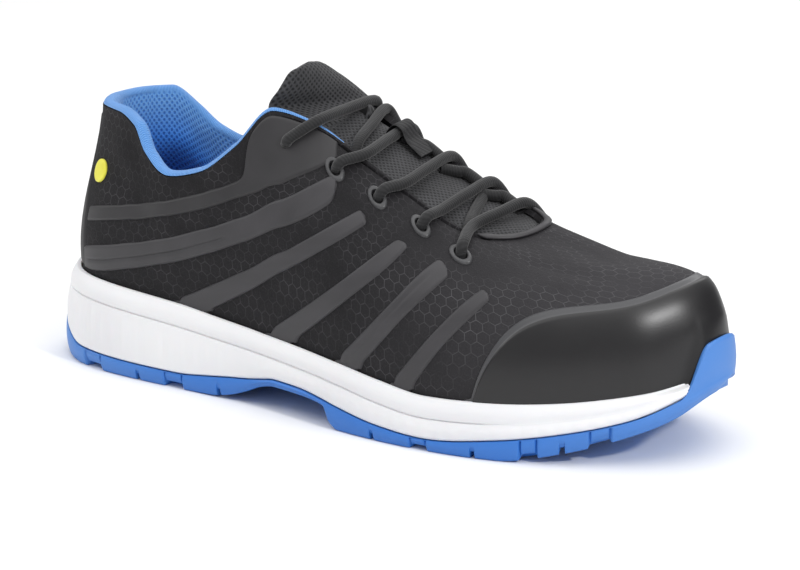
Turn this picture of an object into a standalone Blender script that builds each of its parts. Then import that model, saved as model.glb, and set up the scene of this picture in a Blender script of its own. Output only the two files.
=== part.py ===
"""Safety sneaker, right shoe, empty and standing on its sole.

Metres, +Z up. The toe points along +X, the inner side of the foot is +Y, and the origin is on the floor
under the middle of the shoe. A place round the shoe is a turn: 0 is the middle of the heel, 0.5 the tip of
the toe, smaller values lie on the outer side and larger ones on the inner side. A height on the upper is
a climb: 0 is the feather line on the rim of the midsole, 1 is the edge of the collar or of the throat.
"""

import math

import bmesh
import bpy
import numpy as np
from mathutils import Vector

# Driving sizes
LENGTH = 0.300
BALL_WIDTH = 0.108
RIM_HEIGHT = 0.039
COLLAR_HEIGHT = 0.1045
BELLY = 0.0030
UPPER_WALL = 0.0022
FIT_GAP = 0.0004
FILM_GAP = 0.0008

# Sole
RIM_WALL = 0.0022
SHELF_WALL = 0.0022
TREAD_DEPTH = 0.0026
TREAD_GROOVE = 0.0034
SIDE_GROOVE_DEPTH = 0.0013
BUMPER_WALL = 0.0024
BUMPER_HEIGHT = 0.0150
INSOLE_THICKNESS = 0.0045
TREAD_EDGE = 0.0012
GROOVE_SIZE = 0.0008
BUMPER_MARGIN = 0.0055
BUMPER_HALF = 0.0175
BUMPER_RAMP = 0.0050
BUMPER_CLEAR = 0.0045
FEATHER_RAMP = 0.0200

# Upper and its trim
SKIRT = 0.0055
TOE_CAP_WALL = 0.0016
STRIPE_WALL = 0.0008
LINING_WALL = 0.0018
COLLAR_PAD = 0.0065
COLLAR_LIP = 0.0022
TONGUE_WALL = 0.0048
TONGUE_LENGTH = 0.0260
EYELET_HOLE = 0.0046
EYELET_RING = 0.0086
EYELET_HEIGHT = 0.0011
LACE = 0.0044
BADGE = 0.0098
BADGE_HEIGHT = 0.0008
BINDING_WALL = 0.0012
TONGUE_CROWN = 0.0020
TONGUE_THIN = 0.75
TONGUE_SKEW = 0.17
TONGUE_ROLL = -0.06
LACE_CLEAR = 0.0017
LOOP_WALL = 0.0012
LOOP_WIDTH = 0.0120
LOOP_REACH = 0.0150
LOOP_DROP = 0.0006

# Outline of the sole: shares of the length and of half the ball width
OUTLINE = (
    # along, outer, inner
    (0.045, 0.52, 0.46),
    (0.140, 0.715, 0.645),
    (0.300, 0.765, 0.665),
    (0.430, 0.83, 0.68),
    (0.560, 0.965, 0.83),
    (0.680, 1.00, 0.985),
    (0.790, 0.905, 0.985),
    (0.900, 0.62, 0.80),
    (0.970, 0.30, 0.52),
)
TOE_TIP_SIDE = 0.15

# Heights of the sole, as shares of the rim height at the heel
SOLE_HEIGHTS = (
    # along, ground, seam, groove, rim, floor of the cup
    (0.000, 0.100, 0.470, 0.800, 1.020, 0.776),
    (0.035, 0.030, 0.330, 0.780, 1.010, 0.766),
    (0.080, 0.000, 0.170, 0.750, 0.975, 0.731),
    (0.260, 0.000, 0.155, 0.670, 0.895, 0.651),
    (0.380, 0.000, 0.270, 0.595, 0.790, 0.546),
    (0.405, 0.200, 0.310, 0.580, 0.770, 0.526),
    (0.430, 0.270, 0.345, 0.565, 0.755, 0.511),
    (0.520, 0.265, 0.320, 0.500, 0.710, 0.466),
    (0.545, 0.000, 0.240, 0.470, 0.690, 0.446),
    (0.610, 0.000, 0.175, 0.405, 0.620, 0.376),
    (0.680, 0.000, 0.135, 0.365, 0.560, 0.316),
    (0.780, 0.000, 0.230, 0.385, 0.570, 0.335),
    (0.860, 0.110, 0.360, 0.470, 0.620, 0.400),
    (0.930, 0.280, 0.480, 0.600, 0.690, 0.495),
    (0.975, 0.440, 0.620, 0.720, 0.760, 0.585),
    (1.000, 0.620, 0.780, 0.830, 0.860, 0.695),
)

# How far the wall of the sole leans in from its outline, as shares of the rim wall
SOLE_LEAN = (
    # along, tread, seam, groove, rim
    (0.00, 0.60, 0.40, 1.40, 2.70),
    (0.10, 0.60, 0.40, 1.00, 1.80),
    (0.40, 0.50, 0.45, 0.80, 1.30),
    (0.68, 0.50, 0.40, 0.55, 0.90),
    (0.90, 0.70, 0.40, 0.60, 0.90),
    (1.00, 1.20, 0.40, 0.50, 0.80),
)

# Edge of the collar and throat. Shares: along of the length, side of half the ball width, height of the
# collar height, belly of the belly size. Full is how upright the side starts, arch how far it leans in
# before the edge and drop how far below the edge it does so.
TOP_EDGE_OUTER = (
    # feather, along, side, height, belly, full, arch, drop
    (0.030, 0.082, 0.28, 1.000, 0.67, 0.35, 0.05, 0.30),
    (0.090, 0.133, 0.45, 1.000, 0.83, 0.35, 0.00, 0.30),
    (0.150, 0.170, 0.53, 0.965, 1.00, 0.35, -0.10, 0.30),
    (0.200, 0.197, 0.59, 0.870, 1.00, 0.35, -0.20, 0.30),
    (0.260, 0.240, 0.64, 0.805, 1.00, 0.35, -0.20, 0.30),
    (0.320, 0.293, 0.64, 0.840, 1.00, 0.40, 0.10, 0.30),
    (0.380, 0.343, 0.57, 0.950, 1.00, 0.45, 0.30, 0.30),
    (0.440, 0.385, 0.43, 1.085, 1.00, 0.50, 0.45, 0.30),
    (0.500, 0.447, 0.33, 1.035, 1.00, 0.50, 0.50, 0.22),
    (0.570, 0.510, 0.31, 0.940, 1.00, 0.50, 0.50, 0.16),
    (0.650, 0.580, 0.305, 0.838, 1.00, 0.55, 0.50, 0.12),
    (0.730, 0.645, 0.28, 0.742, 0.83, 0.60, 0.50, 0.10),
    (0.810, 0.686, 0.22, 0.708, 0.67, 0.70, 0.55, 0.10),
    (0.890, 0.706, 0.11, 0.703, 0.50, 0.80, 0.62, 0.12),
    (0.960, 0.717, -0.02, 0.712, 0.33, 0.88, 0.70, 0.16),
)
TOP_EDGE_HEEL = (0.0, 0.060, 0.0, 1.000, 0.67, 0.35, 0.10, 0.30)
TOP_EDGE_TOE = (1.0, 0.722, -0.15, 0.728, 0.27, 0.92, 0.78, 0.19)
TOP_EDGE_INNER = (
    # feather, along, side, height, belly, full, arch, drop
    (0.030, 0.072, 0.24, 1.005, 0.67, 0.35, 0.05, 0.30),
    (0.090, 0.100, 0.43, 1.005, 0.83, 0.35, 0.00, 0.30),
    (0.150, 0.133, 0.55, 0.930, 1.00, 0.35, -0.10, 0.30),
    (0.200, 0.167, 0.59, 0.855, 1.00, 0.35, -0.20, 0.30),
    (0.260, 0.220, 0.60, 0.815, 1.00, 0.35, -0.20, 0.30),
    (0.320, 0.285, 0.60, 0.845, 1.00, 0.40, 0.10, 0.30),
    (0.380, 0.343, 0.55, 0.955, 1.00, 0.45, 0.30, 0.30),
    (0.440, 0.385, 0.44, 1.085, 1.00, 0.50, 0.40, 0.30),
    (0.500, 0.447, 0.375, 1.045, 1.00, 0.50, 0.40, 0.24),
    (0.570, 0.510, 0.365, 0.960, 1.00, 0.50, 0.40, 0.20),
    (0.650, 0.580, 0.365, 0.870, 1.00, 0.52, 0.40, 0.20),
    (0.730, 0.645, 0.360, 0.795, 0.83, 0.54, 0.40, 0.25),
    (0.810, 0.686, 0.340, 0.757, 0.67, 0.58, 0.42, 0.28),
    (0.890, 0.706, 0.300, 0.745, 0.50, 0.66, 0.50, 0.28),
    (0.960, 0.719, 0.230, 0.735, 0.33, 0.82, 0.66, 0.22),
)

# Side stripes of smooth film: each edge as turns and climbs, from the midsole or the heel to its upper end
SIDE_STRIPES = {
    # name: first edge turns, first edge climbs, second edge turns, second edge climbs
    "stripe_2": (
        (0.0850, 0.137, 0.174, 0.2158, 0.2325, 0.2490),
        (0.125, 0.290, 0.515, 0.570, 0.575, 0.675),
        (0.0895, 0.143, 0.1717, 0.200, 0.2225, 0.2515),
        (0.030, 0.150, 0.320, 0.425, 0.450, 0.625),
    ),
    "stripe_3": (
        (0.1670, 0.1833, 0.2017, 0.2317, 0.2517, 0.2700),
        (0.020, 0.127, 0.210, 0.320, 0.460, 0.650),
        (0.1860, 0.2000, 0.2242, 0.2500, 0.2683, 0.2765),
        (0.020, 0.103, 0.203, 0.367, 0.543, 0.640),
    ),
    "stripe_4": (
        (0.2210, 0.2375, 0.2583, 0.2775, 0.2950),
        (0.020, 0.100, 0.247, 0.440, 0.645),
        (0.2340, 0.2458, 0.2667, 0.2835, 0.2985),
        (0.020, 0.080, 0.240, 0.400, 0.630),
    ),
    "stripe_5": (
        (0.2605, 0.2692, 0.2850, 0.3017, 0.3170),
        (0.020, 0.075, 0.227, 0.407, 0.600),
        (0.2735, 0.2808, 0.2950, 0.3092, 0.3215),
        (0.020, 0.085, 0.230, 0.387, 0.585),
    ),
    "stripe_6": (
        (0.2920, 0.3042, 0.3167, 0.3290, 0.3400),
        (0.020, 0.127, 0.267, 0.400, 0.520),
        (0.3010, 0.3117, 0.3225, 0.3335, 0.3430),
        (0.020, 0.120, 0.240, 0.370, 0.490),
    ),
}

WIDE_STRIPES = ("stripe_2", "stripe_3")

# Panel of smooth film from the heel up to the top eyelets
EYESTAY = (
    # turn, low climb, high climb
    (0.0810, 0.285, 0.375),
    (0.1100, 0.380, 0.465),
    (0.1425, 0.470, 0.575),
    (0.1708, 0.645, 0.760),
    (0.1950, 0.715, 0.845),
    (0.2100, 0.690, 0.830),
    (0.2167, 0.665, 0.850),
    (0.2240, 0.645, 0.960),
    (0.2333, 0.640, 0.975),
    (0.2420, 0.690, 0.975),
    (0.2490, 0.760, 0.975),
)

# Rear edge of the toe cap
TOE_CAP_EDGE = (
    # turn, climb
    (0.3295, 0.060),
    (0.3342, 0.125),
    (0.3417, 0.213),
    (0.3500, 0.297),
    (0.3583, 0.353),
    (0.3708, 0.398),
    (0.3942, 0.407),
    (0.4317, 0.400),
    (0.4600, 0.425),
    (0.5000, 0.450),
    (0.5400, 0.425),
    (0.5800, 0.400),
    (0.6150, 0.395),
    (0.6350, 0.360),
    (0.6500, 0.290),
    (0.6620, 0.170),
    (0.6690, 0.060),
)

# Heel strip: how far it reaches round each side
HEEL_STRIP = (
    # climb, half turn
    (0.020, 0.0855),
    (0.300, 0.0770),
    (0.600, 0.0600),
    (0.930, 0.0470),
)

# Padded lining: its thickness as shares of the collar pad, at the heel and sides and along the throat
LINING = (
    # climb, collar, throat
    (-0.45, 0.24, 0.20),
    (0.10, 0.26, 0.20),
    (0.35, 0.34, 0.20),
    (0.55, 0.62, 0.19),
    (0.75, 0.96, 0.18),
    (0.90, 0.98, 0.20),
    (1.00, 0.86, 0.20),
)
LINING_END = 0.2620
TURN_STEP = 0.0100
LINING_THIN = (0.1950, 0.2350)
THROAT_LIP = 0.60

# Middle of the heel badge, as turn and climb
BADGE_PLACE = (0.0833, 0.600)

# Where the toe cap starts above the rim, as a climb
TOE_CAP_FOOT = 0.012

# Eyelets from the collar to the toe. The inner row stands a little further forward.
EYELETS = (
    # outer turn, outer climb, inner turn as mirrored, inner climb
    (0.2350, 0.840, 0.2440, 0.860),
    (0.2583, 0.805, 0.2670, 0.820),
    (0.2817, 0.800, 0.2905, 0.810),
    (0.3058, 0.790, 0.3140, 0.800),
    (0.3292, 0.735, 0.3375, 0.770),
)

# Turns of the tongue's sections along the throat, and how far its wings reach under the quarters
TONGUE_TURNS = (0.3700, 0.3450, 0.3200, 0.2950, 0.2700, 0.2480)
TONGUE_WING = (0.80, 0.92)
TONGUE_FRONT = 0.80

# Free end of the tongue past its last section, as shares of the tongue's length
TONGUE_TOP = (
    # back, up, half width, shift to the inner side, crown
    (0.33, 0.120, 0.60, 0.02, 0.06),
    (0.51, 0.270, 0.62, 0.03, 0.07),
    (0.57, 0.540, 0.73, 0.06, 0.11),
    (0.56, 0.790, 0.68, 0.06, 0.12),
    (0.53, 0.940, 0.48, 0.04, 0.06),
    (0.50, 1.000, 0.24, 0.00, 0.00),
)


def smooth(knots, values, x):
    """Monotone cubic through the knots, so that no value overshoots its row."""
    knots, values, x = (np.asarray(v, float) for v in (knots, values, x))
    step = np.diff(knots)
    slope = np.diff(values) / step
    left, right = slope[:-1], slope[1:]
    same = left * right > 0
    weight = (2 * step[1:] + step[:-1], step[1:] + 2 * step[:-1])
    safe = np.where(same, weight[0] * right + weight[1] * left, 1.0)
    inner = np.where(same, (weight[0] + weight[1]) * left * right / safe, 0.0)
    tangent = np.concatenate([[slope[0]], inner, [slope[-1]]])
    x = np.clip(x, knots[0], knots[-1])
    i = np.clip(np.searchsorted(knots, x, side="right") - 1, 0, len(step) - 1)
    h = step[i]
    s = (x - knots[i]) / h
    return (
        values[i] * (1 + 2 * s) * (1 - s) ** 2
        + tangent[i] * h * s * (1 - s) ** 2
        + values[i + 1] * s * s * (3 - 2 * s)
        + tangent[i + 1] * h * s * s * (s - 1)
    )


def smooth_round(knots, values, turn):
    """The same curve for a table that closes on itself after one turn."""
    knots = np.asarray(knots, float)
    values = np.asarray(values, float)
    wide = np.concatenate([knots - 1, knots, knots + 1])
    return smooth(wide, np.tile(values, 3), np.asarray(turn, float) % 1.0)


def turn_of(along, side):
    """The turn of a point at this share of the length: side -1 is the outer side, +1 the inner side."""
    turn = np.arccos(1 - 2 * np.clip(np.asarray(along, float), 0, 1)) / (2 * math.pi)
    return turn if side < 0 else 1 - turn


def along_of(turn):
    return (1 - np.cos(2 * math.pi * np.asarray(turn, float))) / 2


def periodic_spline(knots, values):
    """Second derivatives of the cubic spline through a table that closes on itself."""
    count = len(knots)
    step = np.diff(np.append(knots, knots[0] + 1))
    slope = np.diff(np.append(values, values[0])) / step
    matrix = np.zeros((count, count))
    for i in range(count):
        before = (i - 1) % count
        matrix[i, before] += step[before]
        matrix[i, i] += 2 * (step[before] + step[i])
        matrix[i, (i + 1) % count] += step[i]
    right = 6 * (slope - np.roll(slope, 1))
    return np.linalg.solve(matrix, right)


def outline_table():
    rows = [(0.0, 0.0)]
    rows += [(float(turn_of(along, -1)), -outer) for along, outer, _ in OUTLINE]
    rows += [(0.5, TOE_TIP_SIDE)]
    rows += [(float(turn_of(along, 1)), inner) for along, _, inner in reversed(OUTLINE)]
    return np.array(rows)


OUTLINE_KNOTS, OUTLINE_SIDES = outline_table().T
OUTLINE_BEND = periodic_spline(OUTLINE_KNOTS, OUTLINE_SIDES)


def outline(turn, out=0.0):
    """Points of the sole's outline, moved outwards by a distance, as arrays of x and y."""
    turn = np.asarray(turn, float)

    def place(at):
        at = at % 1.0
        knots = np.append(OUTLINE_KNOTS, 1.0)
        i = np.clip(np.searchsorted(knots, at, side="right") - 1, 0, len(OUTLINE_KNOTS) - 1)
        j = (i + 1) % len(OUTLINE_KNOTS)
        h = knots[i + 1] - knots[i]
        a, b = (knots[i + 1] - at) / h, (at - knots[i]) / h
        side = a * OUTLINE_SIDES[i] + b * OUTLINE_SIDES[j]
        side += ((a**3 - a) * OUTLINE_BEND[i] + (b**3 - b) * OUTLINE_BEND[j]) * h * h / 6
        return LENGTH * (along_of(at) - 0.5), side * BALL_WIDTH / 2

    x, y = place(turn)
    x_next, y_next = place(turn + 1e-4)
    x_last, y_last = place(turn - 1e-4)
    dx, dy = x_next - x_last, y_next - y_last
    size = np.hypot(dx, dy)
    return x + out * dy / size, y - out * dx / size


def outward(turn):
    """The unit direction out of the outline, as arrays of x and y."""
    inner, outer = outline(turn), outline(turn, 1.0)
    return outer[0] - inner[0], outer[1] - inner[1]


def sole_height(column, turn):
    rows = np.array(SOLE_HEIGHTS)
    return smooth(rows[:, 0], rows[:, column], along_of(turn)) * RIM_HEIGHT


def sole_lean(column, turn):
    rows = np.array(SOLE_LEAN)
    return smooth(rows[:, 0], rows[:, column], along_of(turn)) * RIM_WALL


GROUND, SEAM, GROOVE, RIM, FLOOR = 1, 2, 3, 4, 5


def shelf_height(turn):
    """Height of the joint between outsole and midsole inside their walls: it stays under the cup's floor."""
    return np.minimum(sole_height(SEAM, turn), sole_height(FLOOR, turn) - SHELF_WALL)


def bumper_share(turn, margin=0.0, ramp=BUMPER_RAMP):
    """1 over the toe bumper and 0 away from it. The margin widens it, in metres along the outline."""
    x, y = outline(turn)
    away = np.abs(y - TOE_TIP_SIDE * BALL_WIDTH / 2)
    share = np.clip((BUMPER_HALF + margin + ramp - away) / ramp, 0, 1)
    return np.where(x > 0, share * share * (3 - 2 * share), 0.0)


def feather_inset(turn):
    """How far in from the outline the upper's outer face stands at the rim."""
    behind = BUMPER_WALL + FIT_GAP * 1.5 + sole_lean(SEAM, turn)
    toe = bumper_share(turn, BUMPER_CLEAR, FEATHER_RAMP) * behind
    return np.maximum(sole_lean(RIM, turn), toe) + RIM_WALL + FIT_GAP


def edge_table():
    outer = [(float(turn_of(row[0], -1)), row[1], -row[2], *row[3:]) for row in TOP_EDGE_OUTER]
    inner = [(float(turn_of(row[0], 1)), *row[1:]) for row in reversed(TOP_EDGE_INNER)]
    toe = (0.5, TOP_EDGE_TOE[1], -TOP_EDGE_TOE[2], *TOP_EDGE_TOE[3:])
    return np.array([TOP_EDGE_HEEL, *outer, toe, *inner])


EDGE_TABLE = edge_table()


def edge_column(column, turn):
    return smooth_round(EDGE_TABLE[:, 0], EDGE_TABLE[:, column], turn)


def upper_base(turn, climb):
    """Points on the outer face of the upper: a cubic rail from the feather line up to the top edge."""
    turn, climb = np.broadcast_arrays(np.asarray(turn, float), np.asarray(climb, float))
    fx, fy = outline(turn, -feather_inset(turn))
    fz = sole_height(RIM, turn)
    tx = LENGTH * (edge_column(1, turn) - 0.5)
    ty = edge_column(2, turn) * BALL_WIDTH / 2
    tz = edge_column(3, turn) * COLLAR_HEIGHT
    ox, oy = outward(turn)
    belly, full, arch, drop = (edge_column(c, turn) for c in (4, 5, 6, 7))
    belly = belly * BELLY
    rise = tz - fz
    first = np.stack([fx + ox * belly, fy + oy * belly, fz + rise * full], -1)
    second = np.stack([tx + (fx - tx) * arch, ty + (fy - ty) * arch, tz - rise * drop], -1)
    low = np.stack([fx, fy, fz], -1)
    high = np.stack([tx, ty, tz], -1)
    s = np.clip(climb, 0, None)[..., None]
    point = low * (1 - s) ** 3 + 3 * first * s * (1 - s) ** 2 + 3 * second * s**2 * (1 - s) + high * s**3
    point[..., 2] += np.clip(climb, None, 0) * SKIRT
    return point


def upper_normal(turn, climb):
    """The direction out of the upper, from its neighbours on both sides."""
    step = 2e-3
    round_it = upper_base(np.asarray(turn) + step, climb) - upper_base(np.asarray(turn) - step, climb)
    up_it = upper_base(turn, np.asarray(climb) + step * 4) - upper_base(turn, np.asarray(climb) - step * 4)
    normal = np.cross(round_it, up_it)
    return normal / np.linalg.norm(normal, axis=-1, keepdims=True)


def upper(turn, climb, out=0.0):
    """Points at a distance out of the upper's outer face."""
    out = np.asarray(out, float)[..., None]
    return upper_base(turn, climb) + upper_normal(turn, climb) * out


def start_scene():
    for obj in list(bpy.data.objects):
        bpy.data.objects.remove(obj)
    shoe = bpy.data.collections.new("safety_sneaker")
    tools = bpy.data.collections.new("cutters")
    bpy.context.scene.collection.children.link(shoe)
    bpy.context.scene.collection.children.link(tools)
    return shoe, tools


def material(name, colour, roughness, metallic=0.0):
    made = bpy.data.materials.new(name)
    made.use_nodes = True
    surface = made.node_tree.nodes["Principled BSDF"]
    surface.inputs["Base Color"].default_value = (*colour, 1.0)
    surface.inputs["Roughness"].default_value = roughness
    surface.inputs["Metallic"].default_value = metallic
    made.diffuse_color = (*colour, 1.0)
    return made


def mesh_object(name, points, faces, surface, collection):
    """An object of these points and faces, closed, with its normals out and its smooth parts shaded so."""
    mesh = bpy.data.meshes.new(name)
    mesh.from_pydata([tuple(map(float, p)) for p in points], [], faces)
    work = bmesh.new()
    work.from_mesh(mesh)
    bmesh.ops.remove_doubles(work, verts=work.verts, dist=2e-6)
    bmesh.ops.dissolve_degenerate(work, edges=work.edges, dist=1e-6)
    bmesh.ops.recalc_face_normals(work, faces=work.faces)
    work.to_mesh(mesh)
    work.free()
    mesh.shade_smooth()
    mesh.set_sharp_from_angle(angle=math.radians(35))
    if surface:
        mesh.materials.append(surface)
    obj = bpy.data.objects.new(name, mesh)
    collection.objects.link(obj)
    return obj


def cutter(name, points, faces, collection):
    obj = mesh_object(name, points, faces, None, collection)
    obj.hide_render = True
    obj.display_type = "WIRE"
    return obj


def boolean(obj, tool, operation="DIFFERENCE"):
    change = obj.modifiers.new(tool.name, "BOOLEAN")
    change.object = tool
    change.operation = operation
    change.solver = "EXACT"


def quads(rows, columns, start=0, close_rows=False, close_columns=False):
    """Faces of a grid of points laid out row by row."""
    faces = []
    for i in range(rows if close_rows else rows - 1):
        for j in range(columns if close_columns else columns - 1):
            k, m = (i + 1) % rows, (j + 1) % columns
            faces.append(tuple(start + n for n in (i * columns + j, i * columns + m, k * columns + m, k * columns + j)))
    return faces


def ring_body(name, rings, surface, collection):
    """A closed body of rings from its bottom to its top. Each end is capped straight across the shoe."""
    count = len(rings[0])
    points = np.concatenate(rings)
    faces = quads(len(rings), count, close_columns=True)
    for start in (0, (len(rings) - 1) * count):
        for i in range(count // 2):
            cap = [start + i, start + i + 1, start + (count - i - 1) % count, start + (count - i) % count]
            faces.append(tuple(dict.fromkeys(cap)))
    return mesh_object(name, points, faces, surface, collection)


def sheet_body(name, outer, inner, surface, collection, closed=False):
    """A closed body between two grids of points, [row][column][xyz]. Closed joins its last row to its first."""
    rows, columns = outer.shape[:2]
    size = rows * columns
    points = np.concatenate([outer.reshape(-1, 3), inner.reshape(-1, 3)])
    faces = quads(rows, columns, close_rows=closed) + quads(rows, columns, size, close_rows=closed)
    rims = []
    for i in range(rows if closed else rows - 1):
        k = (i + 1) % rows
        rims += [(i * columns, k * columns), (i * columns + columns - 1, k * columns + columns - 1)]
    if not closed:
        for j in range(columns - 1):
            last = (rows - 1) * columns
            rims += [(j, j + 1), (last + j, last + j + 1)]
    faces += [(a, b, b + size, a + size) for a, b in rims]
    return mesh_object(name, points, faces, surface, collection)


def ring_turns(count, extra=()):
    """Turns for a ring, alike on both sides: even steps, with the named places along the length put in."""
    half = [0.5 * i / count for i in range(1, count)]
    for along in extra:
        place = float(turn_of(along, -1))
        near = min(range(len(half)), key=lambda i: abs(half[i] - place))
        if abs(half[near] - place) < 0.25 * 0.5 / count:
            half[near] = place
        else:
            half.append(place)
            half.sort()
    return np.array([0.0, *half, 0.5, *[1 - t for t in reversed(half)]])


def ring(turns, out, height):
    x, y = outline(turns, out)
    return np.stack([x, y, np.broadcast_to(height, x.shape)], -1)


def mirrored(turn, side):
    """A turn given on the outer side, taken to the side asked for."""
    return turn if side < 0 else 1 - turn


def over_edge(turn, over, out):
    """Points past the top edge, in line with the rail that ends there."""
    turn = np.asarray(turn, float)
    edge, before = upper_base(turn, np.ones_like(turn)), upper_base(turn, np.full_like(turn, 0.985))
    along = edge - before
    along /= np.linalg.norm(along, axis=-1, keepdims=True)
    normal = upper_normal(turn, np.full_like(turn, 0.985))
    return edge + along * np.asarray(over)[..., None] + normal * np.asarray(out)[..., None]


def surface_circle(turn, climb, radius, count, out):
    """A circle drawn on the upper about a point, at a distance out of it."""
    step = 1e-3
    here = upper(turn, climb)
    per_turn = np.linalg.norm(upper(turn + step, climb) - here) / step
    per_climb = np.linalg.norm(upper(turn, climb + step) - here) / step
    angles = 2 * math.pi * np.arange(count) / count
    turns = turn + radius * np.cos(angles) / per_turn
    climbs = climb + radius * np.sin(angles) / per_climb
    return upper(turns, climbs, np.full(count, out))


ARCH_PLACES = (0.380, 0.405, 0.470, 0.520, 0.545, 0.680, 0.780)
SOLE_STEPS = 26

# Rows of points up the upper and its lining
CLIMBS = (0.0, 0.15, 0.32, 0.50, 0.68, 0.85, 1.0)

# Grooves across the tread, as shares of the length. The wide ones have a short recessed block in the side.
TREAD_GROOVES = (0.105, 0.180, 0.258, 0.325, 0.600, 0.660, 0.725, 0.790, 0.860)
SIDE_GROOVES = (
    # along, width as a share of the length
    (0.108, 0.026),
    (0.256, 0.026),
    (0.360, 0.026),
    (0.676, 0.024),
    (0.828, 0.022),
    (0.905, 0.022),
)


def box_points(centre, forward, size):
    """Corners of a box turned about Z: forward is its first side's direction, size its three sides."""
    forward = np.array([forward[0], forward[1], 0.0])
    forward /= np.linalg.norm(forward)
    left = np.array([-forward[1], forward[0], 0.0])
    corners = []
    for x, y, z in ((i, j, k) for i in (-0.5, 0.5) for j in (-0.5, 0.5) for k in (-0.5, 0.5)):
        corners.append(np.array(centre) + forward * x * size[0] + left * y * size[1] + np.array([0, 0, z * size[2]]))
    return corners


BOX_FACES = [(0, 1, 3, 2), (4, 6, 7, 5), (0, 4, 5, 1), (2, 3, 7, 6), (0, 2, 6, 4), (1, 5, 7, 3)]


def boxes_cutter(name, boxes, collection):
    points, faces = [], []
    for corners in boxes:
        faces += [tuple(len(points) + i for i in face) for face in BOX_FACES]
        points += corners
    return cutter(name, points, faces, collection)


def make_outsole(surface, shoe, tools):
    turns = ring_turns(SOLE_STEPS, ARCH_PLACES)
    ground, seam = sole_height(GROUND, turns), sole_height(SEAM, turns)
    bumper = bumper_share(turns)
    top = seam + bumper * BUMPER_HEIGHT
    tread, wall = -sole_lean(GROUND, turns), -sole_lean(SEAM, turns)
    rings = [
        ring(turns, tread - TREAD_EDGE, ground),
        ring(turns, tread, ground + TREAD_EDGE),
        ring(turns, 0 * turns, ground + (seam - ground) * 0.55),
        ring(turns, wall, seam),
        ring(turns, wall - bumper * TREAD_EDGE / 2, top - TREAD_EDGE / 3),
        ring(turns, wall - TREAD_EDGE, top),
        ring(turns, wall - np.maximum(BUMPER_WALL * bumper, TREAD_EDGE * 0.6), top),
        ring(turns, wall - BUMPER_WALL, shelf_height(turns) - FIT_GAP / 20),
    ]
    rings[4][:, 2] = np.maximum(rings[4][:, 2], rings[3][:, 2] + FIT_GAP / 20)
    body = ring_body("outsole", rings, surface, shoe)
    boolean(body, tread_cutter(tools))
    boolean(body, side_cutter(tools))
    return body


def tread_cutter(tools):
    """Straight grooves across the tread, as deep as the tread is at each place."""
    boxes = []
    for along in TREAD_GROOVES:
        height = float(sole_height(GROUND, turn_of(along, -1)))
        centre = (LENGTH * (along - 0.5), 0.0, height - TREAD_DEPTH)
        boxes.append(box_points(centre, (1, 0), (TREAD_GROOVE, BALL_WIDTH * 1.3, TREAD_DEPTH * 4)))
    return boxes_cutter("tread_grooves", boxes, tools)


def side_cutter(tools):
    """Recesses in the wall of the outsole, one for each groove of the table on each side."""
    boxes = []
    for along, width in SIDE_GROOVES:
        for side in (-1, 1):
            turn = float(turn_of(along, side))
            x, y = outline(turn)
            ahead, behind = outline(turn + 1e-3), outline(turn - 1e-3)
            forward = (ahead[0] - behind[0], ahead[1] - behind[1])
            base, seam = float(sole_height(GROUND, turn)), float(sole_height(SEAM, turn))
            tall = (seam - base) * 1.5
            centre = (float(x), float(y), base + (seam - base) * 0.86 - tall / 2)
            boxes.append(box_points(centre, forward, (LENGTH * width, SIDE_GROOVE_DEPTH * 2, tall)))
    return boxes_cutter("side_grooves", boxes, tools)


def cup_inset(turn):
    """How far in from the outline the inner face of the midsole's cup stands."""
    return feather_inset(turn) - FIT_GAP


def make_midsole(surface, shoe):
    turns = ring_turns(SOLE_STEPS, ARCH_PLACES)
    seam, groove, rim, floor = (sole_height(c, turns) for c in (SEAM, GROOVE, RIM, FLOOR))
    keel = -(sole_lean(SEAM, turns) + BUMPER_WALL + FIT_GAP * 2)
    behind = bumper_share(turns, BUMPER_MARGIN) * (BUMPER_WALL + FIT_GAP * 2)
    low = -np.maximum(sole_lean(SEAM, turns) + FIT_GAP / 2, behind + sole_lean(SEAM, turns))
    mid = -np.maximum(sole_lean(GROOVE, turns), behind + sole_lean(SEAM, turns) * bumper_share(turns, BUMPER_MARGIN))
    high = -(cup_inset(turns) - RIM_WALL)
    rings = [
        ring(turns, keel, shelf_height(turns) + FIT_GAP - FIT_GAP / 20),
        ring(turns, keel, seam + FIT_GAP),
        ring(turns, np.maximum(low - TREAD_EDGE / 2, keel), seam + FIT_GAP),
        ring(turns, low, seam + FIT_GAP + TREAD_EDGE / 2),
        ring(turns, mid, groove - GROOVE_SIZE),
        ring(turns, mid - GROOVE_SIZE, groove),
        ring(turns, mid - GROOVE_SIZE / 8, groove + GROOVE_SIZE),
        ring(turns, high, rim - TREAD_EDGE / 2),
        ring(turns, high - TREAD_EDGE / 2, rim),
        ring(turns, high - RIM_WALL, rim),
        ring(turns, high - RIM_WALL, floor),
    ]
    return ring_body("midsole", rings, surface, shoe)


def make_insole(surface, shoe):
    turns = ring_turns(SOLE_STEPS // 2, ())
    inset = -(cup_inset(turns) + FIT_GAP * 3 + UPPER_WALL + LINING_WALL)
    floor = sole_height(FLOOR, turns) + FIT_GAP
    rings = [
        ring(turns, inset, floor),
        ring(turns, inset, floor + INSOLE_THICKNESS * 0.7),
        ring(turns, inset - INSOLE_THICKNESS * 0.3, floor + INSOLE_THICKNESS),
    ]
    return ring_body("insole", rings, surface, shoe)


def make_upper(surface, shoe, tools):
    turns = ring_turns(SOLE_STEPS, ARCH_PLACES)
    turn, climb = np.meshgrid(turns, (-1.0, *CLIMBS), indexing="ij")
    outer = upper(turn, climb)
    inner = upper(turn, climb, np.full(turn.shape, -UPPER_WALL))
    body = sheet_body("upper", outer, inner, surface, shoe, closed=True)
    boolean(body, eyelet_cutter(tools))
    return body


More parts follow.
